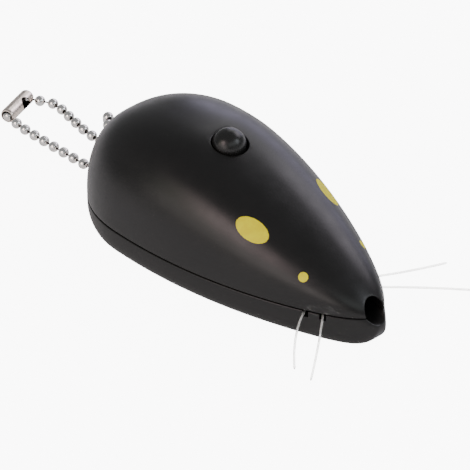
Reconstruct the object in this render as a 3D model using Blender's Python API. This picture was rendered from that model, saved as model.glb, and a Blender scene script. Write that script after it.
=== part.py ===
"""Mouse-shaped cat toy: light in the nose, push button on the back, whiskers, ball-chain tail.

Lengths are in metres. X runs from tail to nose, Y to the mouse's left and Z up. The origin is
on the flat underside. A station is a distance along X from the body's tail end.
"""

import math

import bmesh
import bpy
from mathutils import Vector

# Body skin
BODY_LENGTH = 0.0800
BODY_WIDTH = 0.0397
BODY_HEIGHT = 0.0287
WIDEST_SHARE, HIGHEST_SHARE, FLOOR_START_SHARE = 0.2725, 0.3625, 0.23125
ORIGIN_SHARE = 0.575
SEAM_SHARE, NOSE_RISE_SHARE, NOSE_WIDTH_SHARE = 0.2561, 0.10976, 0.09824
SEAM_HEIGHT = BODY_HEIGHT * SEAM_SHARE
WIDEST_STATION = BODY_LENGTH * WIDEST_SHARE
HIGHEST_STATION = BODY_LENGTH * HIGHEST_SHARE
FLOOR_START_STATION = BODY_LENGTH * FLOOR_START_SHARE
ORIGIN_STATION = BODY_LENGTH * ORIGIN_SHARE
NOSE_HALF_WIDTH = BODY_WIDTH * NOSE_WIDTH_SHARE
NOSE_RISE = BODY_HEIGHT * NOSE_RISE_SHARE
CHIN_REACH = 0.0015
FLOOR_TRIM = 0.00008
WALL = 0.0016
CLEARANCE = 0.0003
OVERRUN = 0.0020
SLIVER_REACH = 0.00002
AXIS_SNAP = 1e-9
REAR_PLAN_POWER, REAR_PLAN_ROOT = 2.19, 2.03
FRONT_PLAN_POWER, NOSE_PLAN_POWER = 2.08, 14.3
REAR_ROOF_POWER, REAR_ROOF_ROOT = 2.13, 3.06
FRONT_ROOF_POWER, NOSE_ROOF_POWER = 1.52, 14.5
REAR_KEEL_POWER, NOSE_KEEL_POWER = 1.75, 42.6
CHIN_POWER, CHIN_DEPTH_POWER = 31.5, 5.0
TAIL_SECTION_POWER, NOSE_SECTION_POWER, BELLY_SECTION_POWER = 2.5, 2.3, 5.4

# Joint lip between the shells
LIP_SETBACK = 0.0008
LIP_THICKNESS = 0.0006
LIP_RISE = 0.0009
LIP_ROOT = 0.0010
LIP_END_SHARE = 0.9225
LIP_END_STATION = BODY_LENGTH * LIP_END_SHARE

# Nose bore and light module
NOSE_BORE_RADIUS = 0.0027
LIGHT_HEIGHT_SHARE, BORE_DEPTH_SHARE, HOUSING_LENGTH_SHARE = 0.2857, 0.1175, 0.16
LIGHT_HEIGHT = BODY_HEIGHT * LIGHT_HEIGHT_SHARE
NOSE_BORE_DEPTH = BODY_LENGTH * BORE_DEPTH_SHARE
SOCKET_WALL = 0.0006
SOCKET_OVERLAP = 0.0010
HOUSING_RADIUS = 0.0033
HOUSING_WALL = 0.0005
HOUSING_LENGTH = BODY_LENGTH * HOUSING_LENGTH_SHARE
HOUSING_LIP = 0.0006
LENS_THICKNESS = 0.0010
LENS_CROWN = 0.0007
DIODE_BASE_LENGTH = 0.0050
DIODE_LEAD_RADIUS = 0.00025
DIODE_LEAD_SHARE, WIRE_BEND_SHARE = 0.0375, 0.0375
DIODE_LEAD_LENGTH = BODY_LENGTH * DIODE_LEAD_SHARE
DIODE_LEAD_SPREAD = 0.00127
WIRE_RADIUS = 0.00045
WIRE_EXIT_OFFSET = 0.0030
WIRE_BEND = BODY_LENGTH * WIRE_BEND_SHARE
RIB_THICKNESS = 0.0012
RIB_HALF_WIDTH = 0.0046
RIB_INSET = 0.0028

# Button and switch
BUTTON_SHARE, COLLAR_DEPTH_SHARE = 0.44375, 0.11847
SWITCH_HEIGHT_SHARE, PLUNGER_RISE_SHARE = 0.11847, 0.05226
BUTTON_STATION = BODY_LENGTH * BUTTON_SHARE
BUTTON_RADIUS = 0.0036
BUTTON_DOME_RISE = 0.0030
BUTTON_DOME_SINK = 0.0004
BUTTON_TRAVEL = 0.0008
BUTTON_FLANGE_REACH = 0.0011
BUTTON_FLANGE_THICKNESS = 0.0009
BUTTON_STEM_RADIUS = 0.0015
COLLAR_WALL = 0.0016
COLLAR_DEPTH = BODY_HEIGHT * COLLAR_DEPTH_SHARE
SWITCH_WIDTH = 0.0060
SWITCH_HEIGHT = BODY_HEIGHT * SWITCH_HEIGHT_SHARE
SWITCH_WALL = 0.0007
SWITCH_PLUNGER_RADIUS = 0.0013
SWITCH_PLUNGER_RISE = BODY_HEIGHT * PLUNGER_RISE_SHARE
SWITCH_FLANGE_REACH = 0.0006
SWITCH_TRAVEL_SHARE = 0.7
SWITCH_DOME_RADIUS = 0.0018
SWITCH_DOME_RISE = 0.0003
SWITCH_DOME_THICKNESS = 0.00015

# Battery bay in the belly
CELL_RADIUS_SHARE, CELL_THICKNESS_SHARE, BAY_FRONT_SHARE = 0.20209, 0.0675, 0.5325
CELL_RADIUS = BODY_HEIGHT * CELL_RADIUS_SHARE
CELL_THICKNESS = BODY_LENGTH * CELL_THICKNESS_SHARE
CELL_RIM = 0.0006
CELL_COUNT = 3
BAY_FRONT_STATION = BODY_LENGTH * BAY_FRONT_SHARE
BAY_WALL = 0.0012
DOOR_THICKNESS = 0.0014
DOOR_RECESS = 0.0001
DOOR_TAB = 0.0048
DOOR_CORNER = 0.0012
PAD_THICKNESS = 0.0030
PAD_MARGIN = 0.0016
CONTACT_THICKNESS = 0.0004
CONTACT_HALF_WIDTH = 0.0045
CONTACT_TAIL_HALF_WIDTH = 0.0012
CONTACT_TAIL_RISE = 0.0010
SPRING_WIRE_RADIUS = 0.00022
SPRING_BASE_RADIUS = 0.0036
SPRING_TIP_RADIUS = 0.0016
SPRING_LENGTH = 0.0020
SPRING_TURNS = 2

# Circuit board
BOARD_THICKNESS = 0.0012
BOARD_HALF_WIDTH = 0.0070
BOARD_FRONT_SHARE, BOARD_POST_SHARE = 0.09, 0.0675
BOARD_FRONT_REACH = BODY_LENGTH * BOARD_FRONT_SHARE
BOARD_POST_REACH = BODY_LENGTH * BOARD_POST_SHARE
BOARD_POST_RADIUS = 0.0022
RESISTOR_RADIUS = 0.0009
RESISTOR_LENGTH = 0.0034
RESISTOR_SETBACK = 0.0085
RESISTOR_OFFSET = 0.0045
RESISTOR_WAIST_SHARE = 0.8

# Screws
SHELL_SCREW_SHANK = 0.0012
SHELL_SCREW_HEAD = 0.0022
SHELL_SCREW_HEAD_RISE = 0.0014
SCREW_LENGTH_SHARE, SCREW_SEAT_SHARE = 0.36585, 0.13937
SHELL_SCREW_LENGTH = BODY_HEIGHT * SCREW_LENGTH_SHARE
SMALL_SCREW_SHANK = 0.0009
SMALL_SCREW_HEAD = 0.0017
SMALL_SCREW_HEAD_RISE = 0.0005
SMALL_SCREW_LENGTH = 0.0050
CROSS_WIDTH = 0.0004
CROSS_LENGTH_SHARE, CROSS_DEPTH_SHARE = 0.65, 0.5
HEAD_FLAT_SHARE, HEAD_SHOULDER_SHARE = 0.6, 0.55
BOSS_WALL = 0.0014
REAR_SCREW_SHARE, FRONT_SCREW_SHARE, SCREW_OFFSET_SHARE = 0.1375, 0.675, 0.2141
REAR_SCREW_STATION = BODY_LENGTH * REAR_SCREW_SHARE
FRONT_SCREW_STATION = BODY_LENGTH * FRONT_SCREW_SHARE
FRONT_SCREW_OFFSET = BODY_WIDTH * SCREW_OFFSET_SHARE
SCREW_SEAT_HEIGHT = BODY_HEIGHT * SCREW_SEAT_SHARE

# Whiskers: each notch's place and its turn towards the nose, then each tip's reach from its notch
REAR_WHISKER_SHARE, FRONT_WHISKER_SHARE = 0.8575, 0.9
REAR_WHISKER_STATION = BODY_LENGTH * REAR_WHISKER_SHARE
FRONT_WHISKER_STATION = BODY_LENGTH * FRONT_WHISKER_SHARE
REAR_NOTCH_DEGREES, FRONT_NOTCH_DEGREES = 30, 42
RIGHT_REAR_REACH = (0.0105, -0.0128, -0.00143)
RIGHT_FRONT_REACH = (0.012, -0.01468, -0.00143)
LEFT_REAR_REACH = (0.0068, 0.0147, -3e-05)
LEFT_FRONT_REACH = (0.0148, 0.01478, -0.00023)
WHISKER_RADIUS = 0.00023
WHISKER_BALL_RADIUS = 0.00055
WHISKER_BALL_DEPTH = 0.0024
WHISKER_BEND_SHARE = 0.45
NOTCH_WIDTH = 0.0011
NOTCH_DEPTH = 0.0013
NOTCH_REACH = 0.0034

# Ball chain and its lug at the tail
LUG_STATION = -0.0032
LUG_RADIUS = 0.0030
LUG_HOLE_RADIUS = 0.0017
LUG_THICKNESS = 0.0018
LUG_DROP = 0.0002
LUG_ROOT = 0.0070
BEAD_RADIUS = 0.00115
BEAD_WALL = 0.0002
BEAD_MOUTH_RADIUS = 0.0005
BEAD_PITCH = 0.00314
BEAD_LIFT = 0.00005
SLEEVE_LIFT = 0.00015
PIN_RADIUS = 0.0002
PIN_BULB_RADIUS = 0.00055
PIN_BULB_SETBACK = 0.0003
ARCH_RADIUS = 0.0042
ARCH_STEM = 0.0014
ARCH_HEADING_DEGREES = 139.7
DIP_RADIUS = 0.0038
LINKS_ABOVE = 15
LINKS_BELOW = 11
LEFT_STRAND = (
    (-0.0139, 0.0060), (-0.0198, 0.0065), (-0.0258, 0.0076), (-0.0289, 0.0082),
    (-0.0318, 0.0082), (-0.0349, 0.0066), (-0.0379, 0.0044),
)
RIGHT_STRAND = (
    (-0.0089, -0.00235), (-0.0217, -0.0029), (-0.0277, -0.00305), (-0.0310, -0.00285),
    (-0.0345, -0.0026),
)
CURL_FOLDS = 4
FIRST_FOLD_ABOVE, FIRST_FOLD_BELOW = 9, 6
SLEEVE_RADIUS = 0.00150
SLEEVE_WALL = 0.00022
SLEEVE_HEAD = 0.0009
SLEEVE_FOOT = 0.0006
SLEEVE_SLIT = 0.0008
SLEEVE_OPENING_RADIUS = 0.00132
SLEEVE_OPENING_SETBACK = 0.0032
SLEEVE_CRIMP = 0.00016
SLEEVE_CRIMP_RUN = 0.0003
BEAD_SEGMENTS, PIN_SEGMENTS = 10, 8


def clear_scene():
    for old in list(bpy.data.objects):
        bpy.data.objects.remove(old, do_unlink=True)


def material(name, colour, roughness, metallic=0.0):
    finish = bpy.data.materials.new(name)
    finish.use_nodes = True
    shader = finish.node_tree.nodes["Principled BSDF"]
    shader.inputs["Base Color"].default_value = (*colour, 1.0)
    shader.inputs["Roughness"].default_value = roughness
    shader.inputs["Metallic"].default_value = metallic
    finish.diffuse_color = (*colour, 1.0)
    return finish


# Meshes


def mesh_from(name, points, faces, sharp_degrees=35.0):
    mesh = bpy.data.meshes.new(name)
    mesh.from_pydata([tuple(point) for point in points], [], faces)
    cleaner = bmesh.new()
    cleaner.from_mesh(mesh)
    bmesh.ops.recalc_face_normals(cleaner, faces=cleaner.faces)
    bmesh.ops.triangulate(cleaner, faces=cleaner.faces)
    cleaner.to_mesh(mesh)
    cleaner.free()
    mesh.shade_smooth()
    mesh.set_sharp_from_angle(angle=math.radians(sharp_degrees))
    return mesh


def bridged(low, high, closed=True):
    """Faces between two rows of point numbers, where one row may be a single pole."""
    count = max(len(low), len(high))
    faces = []
    for step in range(count if closed else count - 1):
        following = (step + 1) % count
        if len(low) == 1:
            faces.append((low[0], high[following], high[step]))
        elif len(high) == 1:
            faces.append((low[step], low[following], high[0]))
        else:
            faces.append((low[step], low[following], high[following], high[step]))
    return faces


def revolved(name, profile, segments=24, looped=False):
    """Turns (radius, height) points about Z. A looped profile is a ring round the axis."""
    points, rows = [], []
    for radius, height in profile:
        if radius < AXIS_SNAP:
            rows.append([len(points)])
            points.append((0, 0, height))
            continue
        rows.append(list(range(len(points), len(points) + segments)))
        for step in range(segments):
            angle = 2 * math.pi * step / segments
            points.append((radius * math.cos(angle), radius * math.sin(angle), height))
    pairs = list(zip(rows, rows[1:]))
    if looped:
        pairs.append((rows[-1], rows[0]))
    faces = [
        face for low, high in pairs if len(low) + len(high) > 2 for face in bridged(low, high)
    ]
    if not looped:
        faces += [row for row in (rows[0], rows[-1]) if len(row) > 1]
    return mesh_from(name, points, faces)


def lofted(name, rows):
    """A solid through closed rows of equally many points, capped at both ends."""
    points = [point for row in rows for point in row]
    count = len(rows[0])
    numbers = [list(range(start, start + count)) for start in range(0, len(points), count)]
    faces = [face for low, high in zip(numbers, numbers[1:]) for face in bridged(low, high)]
    return mesh_from(name, points, [*faces, numbers[0], numbers[-1]])


def prism(name, outline, bottom, top):
    return lofted(name, [[(x, y, z) for x, y in outline] for z in (bottom, top)])


def box(name, low, high):
    outline = [(low[0], low[1]), (high[0], low[1]), (high[0], high[1]), (low[0], high[1])]
    return prism(name, outline, low[2], high[2])


def tube(name, points, radii, sides=8):
    """A round tube through points, with a radius at each."""
    rows = []
    side = None
    for number, (point, radius) in enumerate(zip(points, radii)):
        ahead = points[min(number + 1, len(points) - 1)] - points[max(number - 1, 0)]
        ahead.normalize()
        side = ahead.orthogonal() if side is None else side - ahead * side.dot(ahead)
        side.normalize()
        up = ahead.cross(side)
        angles = [2 * math.pi * step / sides for step in range(sides)]
        rows.append([
            point + (side * math.cos(angle) + up * math.sin(angle)) * radius for angle in angles
        ])
    return lofted(name, rows)


def rounded_rectangle(low, high, corner, steps=5):
    centres = (
        (high[0] - corner, high[1] - corner),
        (low[0] + corner, high[1] - corner),
        (low[0] + corner, low[1] + corner),
        (high[0] - corner, low[1] + corner),
    )
    outline = []
    for quarter, (x, y) in enumerate(centres):
        for step in range(steps + 1):
            angle = math.pi / 2 * (quarter + step / steps)
            outline.append((x + corner * math.cos(angle), y + corner * math.sin(angle)))
    return outline


def joined(name, meshes):
    """One mesh that holds several, which don't touch."""
    points, faces = [], []
    for mesh in meshes:
        start = len(points)
        points += [vertex.co.copy() for vertex in mesh.vertices]
        faces += [[start + number for number in face.vertices] for face in mesh.polygons]
    return mesh_from(name, points, faces)


def turn_towards(along):
    return Vector((0, 0, 1)).rotation_difference(Vector(along))


def moved(mesh, at=(0, 0, 0), along=(0, 0, 1)):
    """Turns a mesh so that its Z lies along a direction, then moves it."""
    turn = turn_towards(along)
    for vertex in mesh.vertices:
        vertex.co = turn @ vertex.co + Vector(at)
    return mesh


def rod(name, radius, start, end, segments=24):
    axis = Vector(end) - Vector(start)
    return moved(revolved(name, [(radius, 0), (radius, axis.length)], segments), start, axis)


# Objects


def placed(name, mesh, finish, at=(0, 0, 0), along=(0, 0, 1)):
    part = bpy.data.objects.new(name, mesh)
    bpy.context.scene.collection.objects.link(part)
    part.location = at
    part.rotation_mode = "QUATERNION"
    part.rotation_quaternion = turn_towards(along)
    if finish and not mesh.materials:
        mesh.materials.append(finish)
    return part


def cutter(name, mesh, at=(0, 0, 0), along=(0, 0, 1)):
    tool = placed(f"{name}_cutter", mesh, None, at, along)
    tool.hide_render = True
    tool.display_type = "WIRE"
    return tool


def combine(part, tool, operation):
    change = part.modifiers.new(f"{operation.lower()}_{tool.name}", "BOOLEAN")
    change.operation = operation
    change.object = tool
    change.solver = "EXACT"


def cut(part, tool):
    combine(part, tool, "DIFFERENCE")


def add(part, tool):
    combine(part, tool, "UNION")


def close_slivers(part):
    """Joins corners that the cuts left closer together than any real detail is."""
    weld = part.modifiers.new("close_slivers", "WELD")
    weld.merge_threshold = SLIVER_REACH


# The body's skin


def x_of(station):
    return station - ORIGIN_STATION


def front_share(station, start, inset=0):
    return min(max((station - start) / (BODY_LENGTH - inset - start), 0), 1)


def rear_share(station, start, inset=0):
    return min(max((start - station) / (start - inset), 0), 1)


def half_width(station, inset=0):
    widest = BODY_WIDTH / 2 - inset
    rear = rear_share(station, WIDEST_STATION, inset)
    if rear > 0:
        return widest * (1 - rear**REAR_PLAN_POWER) ** (1 / REAR_PLAN_ROOT)
    run = front_share(station, WIDEST_STATION, inset)
    nose = NOSE_HALF_WIDTH - inset
    taper = nose + (widest - nose) * (1 - run**FRONT_PLAN_POWER)
    return taper * math.sqrt(1 - run**NOSE_PLAN_POWER)


def roof_rise(station, inset=0):
    crown = BODY_HEIGHT - SEAM_HEIGHT - inset
    rear = rear_share(station, HIGHEST_STATION, inset)
    if rear > 0:
        return crown * (1 - rear**REAR_ROOF_POWER) ** (1 / REAR_ROOF_ROOT)
    run = front_share(station, HIGHEST_STATION, inset)
    nose = NOSE_RISE - inset
    taper = nose + (crown - nose) * (1 - run**FRONT_ROOF_POWER)
    return taper * math.sqrt(1 - run**NOSE_ROOF_POWER)


def belly_drop(station, inset=0):
    depth = SEAM_HEIGHT + FLOOR_TRIM - inset
    rear = rear_share(station, FLOOR_START_STATION, inset)
    if rear > 0:
        return depth * (1 - rear**REAR_KEEL_POWER)
    run = front_share(station, WIDEST_STATION, inset)
    return depth * math.sqrt(1 - run**NOSE_KEEL_POWER)


def stations(inset=0):
    """Stations from tail to nose, closer together where the skin turns."""
    rear_steps, middle_steps, nose_steps = 10, 8, 9
    middle_share = 0.8
    rear_reach = WIDEST_STATION - inset
    front_reach = BODY_LENGTH - inset - WIDEST_STATION
    found = []
    for step in range(rear_steps, 0, -1):
        share = math.sin(math.pi / 2 * step / rear_steps) ** (2 / REAR_PLAN_POWER)
        found.append(WIDEST_STATION - rear_reach * share)
    for step in range(middle_steps):
        found.append(WIDEST_STATION + front_reach * middle_share * step / middle_steps)
    first = math.asin(middle_share ** (NOSE_PLAN_POWER / 2))
    for step in range(nose_steps + 1):
        angle = first + (math.pi / 2 - first) * step / nose_steps
        share = math.sin(angle) ** (2 / NOSE_PLAN_POWER)
        found.append(WIDEST_STATION + front_reach * share)
    return found


def arch_shares(power, steps):
    """(sideways, upwards) shares round half a superellipse, from right to left."""
    shares = []
    for step in range(steps + 1):
        angle = math.pi * step / steps
        side = -math.copysign(abs(math.cos(angle)) ** (2 / power), math.cos(angle))
        shares.append((side, max(math.sin(angle), 0) ** (2 / power)))
    return shares


def back_row(place, inset, rim, steps):
    """Points across the back at a station."""
    tail_share = 1 - place / BODY_LENGTH
    power = NOSE_SECTION_POWER + (TAIL_SECTION_POWER - NOSE_SECTION_POWER) * tail_share
    rise = SEAM_HEIGHT + roof_rise(place, inset) - rim
    width = half_width(place, inset)
    return [
        (x_of(place), width * side, rim + rise * up) for side, up in arch_shares(power, steps)
    ]


def belly_row(place, inset, rim, steps):
    """Points across the belly at a station. The chin reaches forward below the seam."""
    chin = CHIN_REACH * front_share(place, WIDEST_STATION, inset) ** CHIN_POWER
    drop = rim - SEAM_HEIGHT + belly_drop(place, inset)
    width = half_width(place, inset)
    row = []
    for side, down in arch_shares(BELLY_SECTION_POWER, steps):
        height = max(rim - drop * down, inset)
        shallow = min(height / rim, 1)
        row.append((x_of(place) + chin * (1 - shallow**CHIN_DEPTH_POWER), width * side, height))
    return row


def half_body(name, inset, rim, row_of, steps):
    """The back or the belly as a closed solid with a flat rim."""
    places = stations(inset)
    found = [[(x_of(places[0]), 0, rim)]]
    found += [row_of(place, inset, rim, steps) for place in places[1:-1]]
    found.append([(x_of(places[-1]), 0, rim)])
    points = [point for row in found for point in row]
    rows = []
    for row in found:
        start = rows[-1][-1] + 1 if rows else 0
        rows.append(list(range(start, start + len(row))))
    faces = [
        face for low, high in zip(rows, rows[1:]) for face in bridged(low, high, closed=False)
    ]
    right = [row[0] for row in rows]
    left = [row[-1] for row in rows[1:-1]]
    faces.append(right + left[::-1])
    return mesh_from(name, points, faces)


def rim_band(name, outer_inset, inner_inset, bottom, top):
    """A band along the shells' rim, open at the nose."""
    pairs = list(zip(stations(outer_inset), stations(inner_inset)))
    kept = [pair for pair in pairs if pair[0] < LIP_END_STATION]
    kept.append((LIP_END_STATION, LIP_END_STATION))
    sections = []
    for sign, (outer, inner) in [(-1, pair) for pair in kept[::-1]] + [(1, pair) for pair in kept[1:]]:
        outside = (x_of(outer), sign * half_width(outer, outer_inset))
        inside = (x_of(inner), sign * half_width(inner, inner_inset))
        sections.append([(*outside, bottom), (*inside, bottom), (*inside, top), (*outside, top)])
    return lofted(name, sections)


# Places worked out from the driving sizes

BAY_LENGTH = (
    CELL_COUNT * (CELL_THICKNESS + CLEARANCE)
    + SPRING_LENGTH
    + 2 * CONTACT_THICKNESS
    + 4 * CLEARANCE
)
BAY_REAR_STATION = BAY_FRONT_STATION - BAY_LENGTH
BAY_HALF_WIDTH = CELL_RADIUS + CLEARANCE
DOOR_TOP = DOOR_RECESS + DOOR_THICKNESS
CELL_HEIGHT = DOOR_TOP + CLEARANCE + CELL_RADIUS
BAY_TOP = CELL_HEIGHT + CELL_RADIUS + CLEARANCE
BOARD_BOTTOM = BAY_TOP + CLEARANCE
BOARD_TOP = BOARD_BOTTOM + BOARD_THICKNESS
NEGATIVE_STATION = BAY_REAR_STATION + CLEARANCE
SPRING_STATION = NEGATIVE_STATION + CONTACT_THICKNESS + CLEARANCE
FIRST_CELL_STATION = SPRING_STATION + SPRING_LENGTH + CLEARANCE
POSITIVE_STATION = BAY_FRONT_STATION - CLEARANCE - CONTACT_THICKNESS
BOARD_REAR_STATION = NEGATIVE_STATION + CONTACT_THICKNESS + 2 * CLEARANCE
BOARD_FRONT_STATION = BAY_FRONT_STATION + BOARD_FRONT_REACH
BOARD_POST_STATION = BAY_FRONT_STATION + BOARD_POST_REACH
POCKET_REAR_STATION = BAY_REAR_STATION - DOOR_TAB
POCKET_FRONT_STATION = BAY_FRONT_STATION + BAY_WALL
POCKET_HALF_WIDTH = BAY_HALF_WIDTH + BAY_WALL
POCKET_TOP = DOOR_TOP + CLEARANCE
DOOR_SCREW_STATION = BAY_REAR_STATION - DOOR_TAB / 2 - CLEARANCE
DOOR_SCREW_SEAT = DOOR_RECESS + SMALL_SCREW_HEAD_RISE
SMALL_HOLE = SMALL_SCREW_SHANK + CLEARANCE
DOOR_PILOT_TOP = DOOR_SCREW_SEAT + SMALL_SCREW_LENGTH + CLEARANCE
DOOR_BOSS_TOP = DOOR_PILOT_TOP + BOSS_WALL / 2

SEAM_LOW = SEAM_HEIGHT - CLEARANCE / 2
SEAM_HIGH = SEAM_HEIGHT + CLEARANCE / 2

BORE_END_STATION = BODY_LENGTH - NOSE_BORE_DEPTH
HOUSING_FRONT_STATION = BORE_END_STATION - CLEARANCE
HOUSING_REAR_STATION = HOUSING_FRONT_STATION - HOUSING_LENGTH
HOUSING_SEAT_RADIUS = HOUSING_RADIUS + CLEARANCE
HOUSING_BORE = HOUSING_RADIUS - HOUSING_WALL
DIODE_RADIUS = HOUSING_BORE - CLEARANCE
RIB_STATIONS = (HOUSING_REAR_STATION + RIB_INSET, HOUSING_FRONT_STATION - RIB_INSET)

BUTTON_HOLE_RADIUS = BUTTON_RADIUS + CLEARANCE
BUTTON_SURFACE = SEAM_HEIGHT + roof_rise(BUTTON_STATION)
COLLAR_RADIUS = BUTTON_HOLE_RADIUS + COLLAR_WALL
COLLAR_BOTTOM = BUTTON_SURFACE - COLLAR_DEPTH
FLANGE_TOP = COLLAR_BOTTOM - CLEARANCE
SWITCH_BOTTOM = BOARD_TOP + CLEARANCE
SWITCH_TOP = SWITCH_BOTTOM + SWITCH_HEIGHT
SWITCH_TRAVEL = BUTTON_TRAVEL * SWITCH_TRAVEL_SHARE
SWITCH_DOME_TOP = SWITCH_BOTTOM + SWITCH_DOME_RISE + SWITCH_DOME_THICKNESS
PLUNGER_TOP = SWITCH_TOP + SWITCH_PLUNGER_RISE
STEM_BOTTOM = PLUNGER_TOP + CLEARANCE

SHELL_HOLE = SHELL_SCREW_SHANK + CLEARANCE
SHELL_BOSS_RADIUS = SHELL_HOLE + BOSS_WALL
SHELL_SCREW_PLACES = {
    "rear": (REAR_SCREW_STATION, 0),
    "left": (FRONT_SCREW_STATION, FRONT_SCREW_OFFSET),
    "right": (FRONT_SCREW_STATION, -FRONT_SCREW_OFFSET),
}
SHELL_SCREW_TIP = SCREW_SEAT_HEIGHT - CLEARANCE + SHELL_SCREW_LENGTH

NOTCH_BOTTOM = SEAM_LOW - NOTCH_DEPTH
WHISKER_HEIGHT = NOTCH_BOTTOM + CLEARANCE + WHISKER_RADIUS
WHISKERS = {
    "whisker_right_rear": (REAR_WHISKER_STATION, REAR_NOTCH_DEGREES, RIGHT_REAR_REACH),
    "whisker_right_front": (FRONT_WHISKER_STATION, FRONT_NOTCH_DEGREES, RIGHT_FRONT_REACH),
    "whisker_left_rear": (REAR_WHISKER_STATION, REAR_NOTCH_DEGREES, LEFT_REAR_REACH),
    "whisker_left_front": (FRONT_WHISKER_STATION, FRONT_NOTCH_DEGREES, LEFT_FRONT_REACH),
}

LUG_TOP = SEAM_LOW - LUG_DROP
LUG_HEIGHT = LUG_TOP - LUG_THICKNESS / 2
BEAD_HEIGHT = BEAD_RADIUS + BEAD_LIFT
SLEEVE_HEIGHT = SLEEVE_RADIUS + SLEEVE_LIFT
LUG_HOLE = Vector((x_of(LUG_STATION), 0, LUG_HEIGHT))


# Shells


def screw_towers(bottom, top):
    return [
        rod("tower", SHELL_BOSS_RADIUS, (x_of(place), offset, bottom), (x_of(place), offset, top))
        for place, offset in SHELL_SCREW_PLACES.values()
    ]


def light_ribs(bottom, top):
    half = RIB_THICKNESS / 2
    return [
        box("rib", (x_of(place - half), -RIB_HALF_WIDTH, bottom),
            (x_of(place + half), RIB_HALF_WIDTH, top))
        for place in RIB_STATIONS
    ]


def light_socket():
    """The solid nose round the bore, with a short socket behind it for the light housing."""
    start = (x_of(BORE_END_STATION - SOCKET_OVERLAP), 0, LIGHT_HEIGHT)
    end = (x_of(BODY_LENGTH), 0, LIGHT_HEIGHT)
    return rod("light_socket", HOUSING_SEAT_RADIUS + SOCKET_WALL, start, end, 28)


def nose_bore():
    """The nose bore and the seat of the light housing behind it, as one stepped solid."""
    rear = x_of(HOUSING_REAR_STATION - CLEARANCE)
    step = x_of(BORE_END_STATION)
    profile = [
        (HOUSING_SEAT_RADIUS, rear),
        (HOUSING_SEAT_RADIUS, step),
        (NOSE_BORE_RADIUS, step),
        (NOSE_BORE_RADIUS, x_of(BODY_LENGTH + 2 * OVERRUN)),
    ]
    return cutter("nose_bore", revolved("nose_bore", profile, 32), (0, 0, LIGHT_HEIGHT), (1, 0, 0))


def hollowed(shell, name, inset_rim, row_of, fittings):
    """Cuts the inside out of a shell, except for its fittings."""
    cavity = cutter(name, half_body(name, WALL, inset_rim, row_of, 16))
    fitting_name = f"{name}_fittings"
    cut(cavity, cutter(fitting_name, joined(fitting_name, fittings)))
    cut(shell, cavity)


def upper_shell(plastic, bore):
    back = half_body("upper_shell", 0, SEAM_HIGH, back_row, 24)
    shell = placed("upper_shell", back, plastic)
    below = SEAM_HIGH - 2 * OVERRUN
    collar_axis = [(x_of(BUTTON_STATION), 0, z) for z in (COLLAR_BOTTOM, BODY_HEIGHT)]
    fittings = [
        rod("collar", COLLAR_RADIUS, *collar_axis, 32),
        light_socket(),
        *screw_towers(below, BODY_HEIGHT),
        *light_ribs(below, BODY_HEIGHT),
    ]
    hollowed(shell, "upper_cavity", SEAM_HIGH - OVERRUN, back_row, fittings)
    hole_axis = [(x_of(BUTTON_STATION), 0, z) for z in (PLUNGER_TOP, BODY_HEIGHT + OVERRUN)]
    holes = [rod("button_hole", BUTTON_HOLE_RADIUS, *hole_axis, 36)]
    for place, offset in SHELL_SCREW_PLACES.values():
        ends = [(x_of(place), offset, z) for z in (below, SHELL_SCREW_TIP + CLEARANCE)]
        holes.append(rod("pilot", SHELL_HOLE, *ends, 16))
    cut(shell, cutter("upper_holes", joined("upper_holes", holes)))
    rebate = rim_band(
        "lip_rebate",
        LIP_SETBACK - CLEARANCE,
        WALL + CLEARANCE,
        SEAM_LOW - OVERRUN,
        SEAM_LOW + LIP_RISE + CLEARANCE,
    )
    cut(shell, cutter("lip_rebate", rebate))
    cut(shell, bore)
    close_slivers(shell)


def lug():
    """The tail lug: a flat tongue with a round end, let into the rear of the belly."""
    steps = 12
    outline = []
    for step in range(steps + 1):
        angle = math.pi / 2 + math.pi * step / steps
        outline.append((LUG_HOLE.x + LUG_RADIUS * math.cos(angle), LUG_RADIUS * math.sin(angle)))
    root = x_of(LUG_STATION + LUG_ROOT)
    outline += [(root, -LUG_RADIUS), (root, LUG_RADIUS)]
    return prism("lug", outline, LUG_TOP - LUG_THICKNESS, LUG_TOP)


def bay_outline(reach, corner):
    low = (x_of(BAY_REAR_STATION) - reach, -BAY_HALF_WIDTH - reach)
    high = (x_of(BAY_FRONT_STATION) + reach, BAY_HALF_WIDTH + reach)
    return rounded_rectangle(low, high, corner)


def pocket_outline(inset=0):
    low = (x_of(POCKET_REAR_STATION) + inset, -POCKET_HALF_WIDTH + inset)
    high = (x_of(POCKET_FRONT_STATION) - inset, POCKET_HALF_WIDTH - inset)
    return rounded_rectangle(low, high, DOOR_CORNER - inset)


def notch(place, degrees, reach):
    """A slot through the rim for a whisker, along the whisker's way out."""
    exit_point, outwards = whisker_exit(place, degrees, reach)
    across = Vector((-outwards.y, outwards.x, 0)) * NOTCH_WIDTH / 2
    inner, outer = exit_point - outwards * NOTCH_REACH, exit_point + outwards * OVERRUN
    corners = [inner - across, outer - across, outer + across, inner + across]
    outline = [(corner.x, corner.y) for corner in corners]
    return prism("notch", outline, NOTCH_BOTTOM, SEAM_LOW + LIP_RISE + OVERRUN)


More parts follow.
